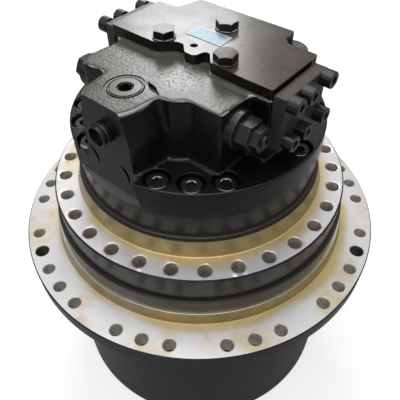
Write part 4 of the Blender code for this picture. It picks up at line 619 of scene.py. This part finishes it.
def makeSpindle(s):
    housing = nodeMesh("spindle_housing", "spindle_casting")
    rim, face = s["rim"], s["face"]
    shell = turned("frameShell", [
        (s["core"], s["joint"]), (s["barrel"], s["joint"]), (s["barrel"], s["ledge"], 3 * mm),
        (s["boss"], s["ledge"], 1.5 * mm), (s["pilot"], face, 2 * mm), (rim - s["edge"], face),
        (rim, face - s["edge"]), (rim, s["foot"], 1.2 * mm), (s["core"], s["foot"])], ring=True)
    shell.data.transform(Matrix.Diagonal((1.0003, 1.0003, 1, 1)))
    weld(housing, shell)
    places = [polar(s["holes"], number * 360 / s["count"]) for number in range(s["count"])]
    carve(housing, drill("frameHoles", s["hole"], s["chamfer"], s["foot"] - 6 * mm, face, places))

    def pick(center, normal):
        far = spread(center)
        if center.z < s["foot"] + 0.1 * mm or far < s["barrel"] - 1 * mm:
            return 2
        if center.z > s["ledge"] - 1.6 * mm:
            return 1
        if center.z > face + 1.5 * mm:
            return 3
        if far > rim - s["edge"] - 0.02 * mm:
            return 5 if center.z > face - s["edge"] - 0.1 * mm else 1
        if abs(far - s["holes"]) < 11 * mm and abs(normal.z) < 0.5:
            return 4
        return 0 if center.z > face - 1.5 * mm else 1

    return finished(housing, "spindle", [
        machinedSteel("frame_face_steel", s["pilot"], 17 * mm, 0.9, clear=189 * mm), smoothPaint, innerSteel,
        machinedSteel("frame_boss_steel", s["pilot"], 30 * mm, 0.5, 0.5), tapped, edgePaint],
        ["spindle_housing"], pick)


makeSpindle(spindleSize)

print("rear casing")
openTop = 0.56     # above every piece: cutters that leave the casing end here
casingSize = {
    "radius": 156 * mm, "foot": 433.3 * mm, "face": 470 * mm, "edge": 1.8 * mm, "pocket": 42 * mm,
    "pocketTop": 455.3 * mm, "top": 544 * mm, "port": (-6 * mm, -105 * mm), "portFace": 543.6 * mm,
    "portRim": 21.6 * mm, "portMouth": 20.4 * mm, "portBore": 19.5 * mm, "portFloor": 519 * mm,
    "portSink": 0.7 * mm, "portLean": 8 * mm, "voxel": 1.9 * mm, "portVoxel": 2.5 * mm, "smoothing": 6,
    "flat": -141 * mm, "flatFoot": 0.427, "flatEnds": (-76 * mm, 38 * mm, 48 * mm), "flangeCast": 0.162,
    "notch": 22 * mm, "notchPlace": (79 * mm, 62 * mm), "fillet": 3 * mm,
    "mark": 14 * mm, "markWide": 5 * mm, "markDeep": 2.4 * mm,
    "marks": ((-38 * mm, 463 * mm), (10 * mm, 460 * mm)),
    "screwCircle": 138.5 * mm, "well": 15.2 * mm, "wellFoot": 458 * mm,
    "screws": (3.4, 38, 53, 68, 112, 127, 142, 176.6, 218, 233, 248, 292, 307, 322),
}
# plans in millimetres: corners, some with the radius that rounds them
bodyPlan = [
    (-95, -37, 2), (123, -37, 2), (123, 47.5, 3), (86, 47.5, 6), (77, 56, 6), (77, 76, 3), (-57, 76, 3),
    (-66, 40, 8), (-95, 40, 3)]
blockPlan = [
    (-80, -30), (-83, -90, 3), (-76, -102, 3), (-42, -98, 3), (-36, -120), (28, -120), (32, -96, 8),
    (45, -96, 4), (59, -84, 6), (98.5, -84, 2), (100, -30)]
manifoldPlan = [
    (-95, -39, 2), (-27, -39, 10), (-10, -24, 4), (-1, -22.5, 4), (11, -34.5, 6), (24, -35, 6),
    (27.5, -22, 5), (33, -19.5, 5), (46, -35, 9), (90, -37, 6), (122, -37, 2), (122, 47.5, 4),
    (86, 47.5, 7), (77, 56, 7), (77, 76, 4), (-57, 75, 5), (-66, 40, 8), (-95, 39, 3)]
portPlan = [
    (-44, -69), (-44, -97, 3), (-40, -128, 5), (-27, -148, 16), (21, -148, 16), (28.5, -124, 8),
    (30.5, -104, 8), (30.5, -69)]
lensPlan = [(4, -84), (18, -86.5, 14), (33, -95.5), (17, -94.5, 14)]


def planned(plan):
    return [(x * mm, y * mm) for x, y in eased(plan)]


def castBlock(s):
    # the cast shapes on the casing flange, melted into one rough casting
    foot, top = s["face"] - 20 * mm, s["top"]
    middle = s["portFace"] - 38 * mm
    port = prism("portCast", planned(portPlan), foot, s["portFace"])
    shape(port, "REMESH", mode="VOXEL", voxel_size=s["portVoxel"])
    for point in port.data.vertices:
        lean = min(max((top - point.co.z) / (top - middle), 0), 1) * s["portLean"]
        point.co.x += math.copysign(lean, point.co.x - s["port"][0])
    wall = [(x, y - s["fillet"]) for x, y in planned(manifoldPlan[:12])]
    shapes = [
        prism("bodyCast", planned(bodyPlan), foot, top),
        prism("blockCast", planned(blockPlan), foot, top), port,
        prism("notchCast", ring(s["notch"], 40, s["notchPlace"]), foot, top + 1 * mm),
        prism("wallFillet", wall + planned([(122, -20), (-95, -20)]), top - 6 * mm, top + 0.8 * s["fillet"]),
        prism("flangeCast", ring(s["flangeCast"], 64), s["foot"] + 2 * mm, s["face"] - 0.3 * mm)]
    made = bmesh.new()
    for one in shapes:
        made.from_mesh(one.data)
        bpy.data.meshes.remove(one.data)
    cast = loose("cast_block", fromShape("cast_block", made))
    shape(cast, "REMESH", mode="VOXEL", voxel_size=s["voxel"])
    shape(cast, "SMOOTH", factor=0.5, iterations=s["smoothing"])
    envelope = turned("castEnvelope", [
        (0, s["foot"]), (s["radius"], s["foot"], 0.4 * mm), (s["radius"], s["face"] - 0.4 * mm, s["edge"]),
        (s["radius"] - 3 * mm, s["face"] - 0.4 * mm), (s["radius"] - 3 * mm, 0.6), (0, 0.6)])
    solid = turned("flangeSolid", [
        (s["pocket"], s["foot"]), (s["radius"], s["foot"], 0.4 * mm), (s["radius"], s["face"] - 4 * mm),
        (s["pocket"], s["face"] - 4 * mm)], ring=True)
    carve(cast, envelope, operation="INTERSECT")
    return weld(cast, solid)


def casingTools(s):
    # what is machined into the casting, as cutters
    left, right, low = s["flatEnds"]
    flat = prism("flatCut", [
        (left, s["flatFoot"]), (low, s["flatFoot"]), (right, s["face"]), (right, openTop), (left, openTop)],
        0, 40 * mm)
    moved(flat, Matrix.Translation((0, s["flat"], 0)) @ Matrix.Rotation(math.pi / 2, 4, "X"))
    sunk = s["portFace"] - s["portSink"]
    port = turned("portCut", [
        (0, s["portFloor"]), (s["portBore"], s["portFloor"]), (s["portBore"], s["portFace"] - 1.5 * mm),
        (s["portMouth"], sunk), (s["portRim"], sunk), (s["portRim"] + mm, openTop), (0, openTop)], 96)
    moved(port, at(*s["port"]))
    lens = prism("lensCut", planned(lensPlan), s["top"] - 5 * mm, openTop)
    marks = []
    for middle, level in s["marks"]:
        curve = [polar(s["mark"], angle) for angle in range(100, -50, -10)]
        back = [polar(s["mark"] - s["markWide"] * math.sin(math.radians((angle + 40) * 180 / 140)), angle)
                for angle in range(-30, 100, 10)]
        mark = prism("flatMark", curve + back, -s["markDeep"], 5 * mm)
        marks.append(moved(mark, at(middle, s["flat"], level) @ laidY(-1)))
    wells = drill("wells", s["well"], 0.9 * mm, s["wellFoot"], s["face"],
                  [polar(s["screwCircle"], angle) for angle in s["screws"]], fine["small"])
    return [flat, port, wells, lens, *marks]


# where the walls stand that the valves and plugs sit in
walls = {
    "relief_valve": 97 * mm, "check_valve": -84 * mm, "side_plug": -141 * mm,
    "back_port_plug_1": 76 * mm, "back_port_plug_2": 76 * mm,
}
# node, radius and depth in millimetres, axis and the way out
bores = (
    ("relief_valve", 15.4, 42, "X", 1), ("check_valve", 11.4, 32, "X", -1), ("side_plug", 9.4, 16, "Y", -1),
    ("back_port_plug_1", 15.4, 20, "Y", 1), ("back_port_plug_2", 15.4, 20, "Y", 1))
spoolBore = {"radius": 14 * mm, "reach": 130 * mm, "y": 3 * mm, "z": 526 * mm}
boltBore = {"radius": 8.3 * mm, "foot": 519.7 * mm}
boltPlaces = [(-27.5 * mm, -24 * mm), (13.5 * mm, 34.5 * mm), (56 * mm, -23 * mm)]


def boreTools():
    # cutters for the bores of the valves, plugs, spool and bolts
    tools = []
    for node, radius, depth, axis, direction in bores:
        low, high = boxOf(node)
        middle = (low + high) / 2
        wall = walls[node]
        lay = laidX(direction) if axis == "X" else laidY(direction)
        place = at(wall, middle.y, middle.z) if axis == "X" else at(middle.x, wall, middle.z)
        one = prism(node + "Bore", ring(radius * mm, 40), -depth * mm, 60 * mm)
        tools.append(moved(one, place @ lay))
    spool = prism("spoolBore", ring(spoolBore["radius"], 40), -spoolBore["reach"], spoolBore["reach"])
    tools.append(moved(spool, at(0, spoolBore["y"], spoolBore["z"]) @ laidX()))
    bolt = prism("boltBore", ring(boltBore["radius"], 32), boltBore["foot"], openTop)
    tools.append(copies("boltBores", bolt, [at(x, y) for x, y in boltPlaces]))
    return tools


def makeCasing(s):
    casing = castBlock(s)
    pocket = prism("pocketCut", ring(s["pocket"], 64), s["foot"] - 5 * mm, s["pocketTop"])
    carve(casing, pocket, *casingTools(s), *boreTools())
    x, y = s["port"]

    def pick(center, normal):
        near = math.hypot(center.x - x, center.y - y) < s["portRim"] + 0.1 * mm
        if near and abs(center.z - s["portFace"]) < 0.9 * mm:
            return 1
        return 2 if normal.z < -0.9 and center.z < s["foot"] + 1 * mm else 0

    return finished(casing, "spindle", [casingPaint, smoothPaint, innerSteel],
                    ["rear_casing"], pick, angle=38)


makeCasing(casingSize)

print("covers, plugs, valves and screws")
trimSize = {
    "coverEdge": 1.2 * mm, "coverDrop": 4.5 * mm, "coverScrew": 9 * mm, "coverScrewHigh": 12.7 * mm,
    "upperRow": (546 * mm, (-29 * mm, -5 * mm, 32 * mm)),
    "lowerRow": (503 * mm, (-29 * mm, -4 * mm, 32 * mm)),
    "casingScrew": 13.2 * mm, "casingScrewHigh": 8.5 * mm, "casingSocket": 6.4 * mm, "casingEdge": 1.9 * mm,
    "gauge": 4 * mm, "gaugePlace": (10 * mm, -18 * mm), "plateTop": 557.3 * mm, "plateHigh": 0.7 * mm,
    "plate": [(-13.7, 20), (32.6, 20), (34, -3.3), (-13, -3.3)], "panel": (0.93, 0.84),
}


def makeManifold(s):
    low, high = boxOf("manifold_cover")
    cover = prism("manifold_plate", planned(manifoldPlan), low.z, high.z)
    rounded(cover, 0.9 * mm, 3)
    through = prism("plateBore", ring(boltBore["radius"], 32), low.z - mm, high.z + mm)
    holes = copies("plateBores", through, [at(x, y) for x, y in boltPlaces])
    gauge = drill("gaugeBore", s["gauge"], 0.5 * mm, low.z - mm, high.z, [s["gaugePlace"]])
    carve(cover, holes, gauge)
    finished(cover, "spindle", [platePaint], ["manifold_cover"])
    plate = prism("blank_nameplate", [(x * mm, y * mm) for x, y in s["plate"]],
                  s["plateTop"] - 0.1 * mm, s["plateTop"] + s["plateHigh"])
    rounded(plate, 0.25 * mm, 2)
    x = sum(corner[0] for corner in s["plate"]) / 4
    y = sum(corner[1] for corner in s["plate"]) / 4
    wide, deep = s["panel"]
    panel = [((x + (px - x) * wide) * mm, (y + (py - y) * deep) * mm) for px, py in s["plate"]]
    face = s["plateTop"] + s["plateHigh"]
    weld(plate, prism("platePanel", panel, s["plateTop"], face + 0.15 * mm))
    finished(plate, "spindle", [plateEdge, plateFoil],
             pick=lambda center, normal: int(center.z > face + 0.1 * mm))


def hexagon(name, radius, low, high, chamfer):
    bar = prism(name, ring(radius, 6, start=turn / 12), low, high)
    limit = turned(name + "Limit", [
        (0, low), (radius, low), (radius, high - chamfer), (radius - 2 * chamfer, high), (0, high)],
        fine["small"])
    limit.data.transform(Matrix.Diagonal((1.002, 1.002, 1, 1)))
    return carve(bar, limit, operation="INTERSECT")


boltSize = {
    "head": 12.9 * mm, "high": 9.2 * mm, "chamfer": 1.1 * mm, "turns": (-0.34, -0.02, 0.12),
    "shank": 7.6 * mm, "shankTop": 9 * mm, "washer": 13.2 * mm, "washerFoot": 10 * mm, "washerTop": 8.9 * mm,
}


def makeBolts(s):
    # hexagon bolts with a washer; heights are measured down from the top of the head
    for number, (x, y) in enumerate(boltPlaces, 1):
        low, high = boxOf(f"manifold_bolt_{number}")
        head = hexagon(f"manifold_bolt_fine_{number}", s["head"], high.z - s["high"], high.z, s["chamfer"])
        moved(head, Matrix.Rotation(s["turns"][number - 1], 4, "Z"))
        top = high.z - s["shankTop"]
        shank = turned("boltShank", [(0, top), (s["shank"], top), (s["shank"], low.z, 0.8 * mm), (0, low.z)],
                       fine["small"])
        foot, top = high.z - s["washerFoot"], high.z - s["washerTop"]
        washer = turned("boltWasher", [
            (0, foot), (s["washer"], foot, 0.3 * mm), (s["washer"], top, 0.3 * mm), (0, top)], fine["small"])
        weld(head, washer, shank)
        finished(moved(head, at(x, y)), "spindle", [boltPaint], [f"manifold_bolt_{number}"])


def makeEndCovers(s):
    for node, side in (("left_end_cover", -1), ("right_end_cover", 1)):
        low, high = boxOf(node)
        high.z -= s["coverDrop"]
        made = bmesh.new()
        bmesh.ops.create_cube(made, size=1, matrix=Matrix.Translation((low + high) / 2)
                              @ Matrix.Diagonal((*(high - low), 1)))
        cover = rounded(loose(node + "_fine", fromShape(node, made)), s["coverEdge"], 4)
        pocket = prism("pocket", ring(spoolBore["radius"], 40), -6 * mm, 8 * mm)
        inner = low.x if side > 0 else high.x
        carve(cover, moved(pocket, at(inner, spoolBore["y"], spoolBore["z"]) @ laidX(side)))
        finished(cover, "spindle", [castIron], [node])
        outer = high.x if side > 0 else low.x
        places = [at(outer, y, z) @ laidX(side) for z, row in (s["upperRow"], s["lowerRow"]) for y in row]
        screw = capScrew("endScrew", s["coverScrew"], s["coverScrewHigh"])
        screws = copies(node + "_screws", screw, places)
        finished(screws, "spindle", [screwOxide])


def makeCasingScrews(s):
    places = [polar(casingSize["screwCircle"], angle) for angle in casingSize["screws"]]
    screw = capScrew("casingScrew", s["casingScrew"], s["casingScrewHigh"], s["casingSocket"],
                     s["casingEdge"])
    turns = [Matrix.Rotation(number * 0.7, 4, "Z") for number in range(len(places))]
    screws = copies("casing_screws", screw, [
        at(x, y, casingSize["wellFoot"]) @ way for (x, y), way in zip(places, turns)])
    rim = casingSize["wellFoot"] + s["casingScrewHigh"]

    # the ring of the head's chamfer gets a lighter steel, a painted highlight
    def pick(center, normal):
        return int(rim - 3.5 * mm < center.z < rim - 0.1 * mm and 0.2 < normal.z < 0.98)

    finished(screws, "spindle", [screwOxide, chamferHighlightSteel], pick=pick)


# plugs in the walls: their radii, then how far the head stands out and the thread goes in
sidePlug = {
    "head": 12.4 * mm, "thread": 9 * mm, "socket": 6 * mm, "stand": 11.3 * mm, "depth": 13 * mm,
    "dish": 7 * mm, "lip": 2.6 * mm,
}
backPlug = {
    "head": 19 * mm, "thread": 15 * mm, "socket": 9 * mm, "stand": 8.3 * mm, "depth": 17 * mm,
    "dish": 0.7 * mm, "lip": 3.2 * mm,
}
portPlug = {
    "rim": 18.7 * mm, "grooveOut": 17.6 * mm, "grooveIn": 16.4 * mm, "groove": 1.6 * mm, "rimDrop": 0.2 * mm,
    "foot": 519.3 * mm, "socket": 8.08 * mm, "socketDepth": 10 * mm,
    "mouthIn": (7.4 * mm, 1.5 * mm), "mouthOut": (9.6 * mm, 0.7 * mm),
}


def wallPlug(node, s, direction):
    low, high = boxOf(node)
    middle = (low + high) / 2
    head, stand, thread, depth, lip = s["head"], s["stand"], s["thread"], s["depth"], s["lip"]
    plug = turned(node + "_fine", [
        (0, stand), (head, stand, 1.2 * mm), (head, 0.62 * stand, 0.8 * mm),
        (0.92 * head, 0.5 * stand, 0.6 * mm), (head, 0.38 * stand, 0.8 * mm), (head, 0.3 * mm, 0.4 * mm),
        (thread, 0.3 * mm), (thread, -depth), (0, -depth)], fine["small"])
    key = prism("plugKey", ring(s["socket"], 6), stand * 0.2, stand + 2 * mm)
    dish = turned("plugDish", [
        (0, stand - s["dish"]), (head - lip, stand - s["dish"]), (head - 0.75 * lip, stand + mm),
        (0, stand + mm)], fine["small"])
    carve(plug, key, dish)
    moved(plug, at(middle.x, walls[node], middle.z) @ laidY(direction))
    return finished(plug, "spindle", [screwOxide], [node])


def makePortPlug(s):
    x, y = casingSize["port"]
    top, foot = casingSize["portFace"], s["foot"]
    floor, rim = top - s["groove"], top - s["rimDrop"]
    plug = turned("port_plug_fine", [
        (0, top), (s["grooveIn"], top, 0.3 * mm), (s["grooveIn"], floor), (s["grooveOut"], floor),
        (s["grooveOut"], rim, 0.2 * mm), (s["rim"], rim, 0.5 * mm), (s["rim"], foot), (0, foot)], 96)
    key = prism("portKey", ring(s["socket"], 6, start=0.25), top - s["socketDepth"], top + 2 * mm)
    (inner, sunk), (outer, above) = s["mouthIn"], s["mouthOut"]
    mouth = turned("portMouth", [
        (0, top - sunk), (inner, top - sunk), (outer, top + above), (0, top + above)], fine["small"])
    carve(plug, key, mouth)

    def pick(center, normal):
        return 1 if spread(center) > 16.3 * mm and center.z < top - 1 * mm else 0

    finished(plug, "spindle", [plugPaint, screwOxide], ["port_plug"], pick)
    moved(plug, at(x, y))


# valves: each pair is a radius and a length
reliefValve = {
    "body": (15 * mm, 40 * mm), "collar": (21.5 * mm, 11.5 * mm), "flats": (18 * mm, 15 * mm),
    "nut": (14 * mm, 12 * mm),
}
checkValve = {
    "body": (11 * mm, 30 * mm), "collar": (20 * mm, 15 * mm), "flats": (16 * mm, 12 * mm), "nut": None,
}


def cartridge(node, s, direction):
    body, collar, flats, nut = s["body"], s["collar"], s["flats"], s["nut"]
    low, high = boxOf(node)
    middle = (low + high) / 2
    foot = collar[1]
    valve = turned(node + "_fine", [
        (0, foot), (collar[0], foot, 1.2 * mm), (collar[0], 0.3 * mm, 0.6 * mm), (body[0], 0.3 * mm),
        (body[0], -body[1]), (0, -body[1])], 64)
    weld(valve, hexagon(node + "Flats", flats[0], 0, foot + flats[1], 1.2 * mm))
    if nut:
        end = foot + flats[1] + nut[1]
        stem = 0.52 * nut[0]
        thread = turned(node + "Stem", [(0, foot), (stem, foot), (stem, end, 0.8 * mm), (0, end)],
                        fine["hole"])
        weld(valve, hexagon(node + "Nut", nut[0], foot, end - 3 * mm, 1 * mm), thread)
        key = prism(node + "Key", ring(0.26 * nut[0], 6), end - 4 * mm, end + mm)
        carve(valve, key)
    moved(valve, at(walls[node], middle.y, middle.z) @ laidX(direction))
    return finished(valve, "spindle", [valveOxide], [node])


plateEdge = flatSurface("nameplate_edge", (0.44, 0.50, 0.50), (0.52, 0.56, 0.56), 0.42, 7 * mm, 0.004 * mm)
plateFoil = flatSurface("nameplate_foil", (0.09, 0.26, 0.38), (0.28, 0.42, 0.48), 0.42, 5 * mm, 0.004 * mm)
# bolt tops get a light grey in place of the dust colour, a painted highlight
boltPaint = blackPaint("bolt_black_paint", cast=0.1, dustAndSheenGain=3.6, roughness=0.2, filmAndSheen=(0.42, 0.42, 0.41))
plugPaint = blackPaint("plug_black_paint", cast=0.2, dustAndSheenGain=1.2)
makeManifold(trimSize)
makeBolts(boltSize)
makeEndCovers(trimSize)
makeCasingScrews(trimSize)
makePortPlug(portPlug)
wallPlug("side_plug", sidePlug, -1)
wallPlug("back_port_plug_1", backPlug, 1)
wallPlug("back_port_plug_2", backPlug, 1)
cartridge("relief_valve", reliefValve, 1)
cartridge("check_valve", checkValve, -1)

print("finishes of the carried nodes")
for name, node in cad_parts.items():
    slot = node.data.materials[0].name.split(".")[0]
    node.data.materials[0] = slotFinishes[slot]

print("floor, light and camera")


studio = {
    "floor": 4, "floorTop": -0.0005, "floorFoot": -0.03, "albedo": (0.39, 0.41), "glow": 0.72,
    "world": {"seen": 1.0, "low": 0.10, "high": 0.80, "fill": 0.4},
    "softboxes": {
        # place, aim, width, height and radiance
        "back_softbox": ((-0.93, 0.985, 1.43), (0, -0.03, 0.5), 0.5, 0.6, 12.5),
        "high_softbox": ((-0.69, 0.76, 2.18), (0, 0, 0.35), 1.1, 0.9, 1.4),
        "overhead_softbox": ((0.1, -0.35, 2.3), (0, 0, 0.3), 1.6, 1.6, 2.4),
        "front_softbox": ((0.9, -2.2, 1.3), (0, 0, 0.3), 1.6, 0.8, 1.4),
    },
    "camera": {
        "eye": (0.3015, -0.3543, 0.7909), "target": (0.0006, 0.0005, 0.297), "lens": 40.42, "roll": -0.56,
    },
}


def makeFloor(s):
    half = s["floor"]
    floor = prism("floor", [(-half, -half), (half, -half), (half, half), (-half, half)],
                  s["floorFoot"], s["floorTop"])
    made = Finish("floor_white", Roughness=0.7, Specular_IOR_Level=0.1, Emission_Strength=1.0)
    cloud = made.noise(0.3, 2.0)
    seen = made.node("ShaderNodeLightPath", output="Is Camera Ray")
    dark, light = s["albedo"]
    made.set(Base_Color=made.mix(cloud, (dark,) * 3, (light,) * 3),
             Emission_Color=made.mix(seen, (0, 0, 0), (s["glow"],) * 3))
    floor.data.materials.append(made.material)


def makeWorld(seen, low, high, fill):
    # white to the camera; what shines back is dim near the horizon and bright above
    world = bpy.data.worlds.new("studio")
    bpy.context.scene.world = world
    world.use_nodes = True
    tree = world.node_tree
    tree.nodes.clear()

    def add(kind, inputs, output=0, **settings):
        node = tree.nodes.new(kind)
        for name, value in settings.items():
            setattr(node, name, value)
        for socket, value in inputs.items():
            if isinstance(value, (int, float)):
                node.inputs[socket].default_value = value
            else:
                tree.links.new(value, node.inputs[socket])
        return node.outputs[output]

    path = tree.nodes.new("ShaderNodeLightPath")
    way = add("ShaderNodeTexCoord", {}, "Generated")
    height = add("ShaderNodeSeparateXYZ", {0: way}, "Z")
    mirrored = add("ShaderNodeMapRange", {0: height, 1: -0.05, 2: 0.45, 3: low, 4: high},
                   interpolation_type="SMOOTHSTEP")
    unseen = add("ShaderNodeMix", {0: path.outputs["Is Glossy Ray"], 2: fill, 3: mirrored})
    strength = add("ShaderNodeMix", {0: path.outputs["Is Camera Ray"], 2: unseen, 3: seen})
    back = add("ShaderNodeBackground", {"Strength": strength})
    out = tree.nodes.new("ShaderNodeOutputWorld")
    tree.links.new(back, out.inputs["Surface"])


def softbox(name, place, aim, width, height, radiance):
    lamp = bpy.data.lights.new(name, "AREA")
    lamp.shape = "RECTANGLE"
    lamp.size = width
    lamp.size_y = height
    lamp.energy = radiance * math.pi * width * height
    holder = bpy.data.objects.new(name, lamp)
    holder.location = place
    holder.rotation_euler = (Vector(aim) - Vector(place)).to_track_quat("-Z", "Y").to_euler()
    bpy.context.scene.collection.objects.link(holder)


def makeCamera(eye, target, lens, roll):
    camera = bpy.data.cameras.new("camera")
    camera.lens = lens
    holder = bpy.data.objects.new("camera", camera)
    look = (Vector(target) - Vector(eye)).to_track_quat("-Z", "Y").to_matrix().to_4x4()
    holder.matrix_world = Matrix.Translation(eye) @ look @ Matrix.Rotation(math.radians(roll), 4, "Z")
    bpy.context.scene.collection.objects.link(holder)
    bpy.context.scene.camera = holder


makeFloor(studio)
makeWorld(**studio["world"])
for name, box in studio["softboxes"].items():
    softbox(name, *box)
makeCamera(**studio["camera"])
bpy.context.scene.view_settings.view_transform = "Standard"
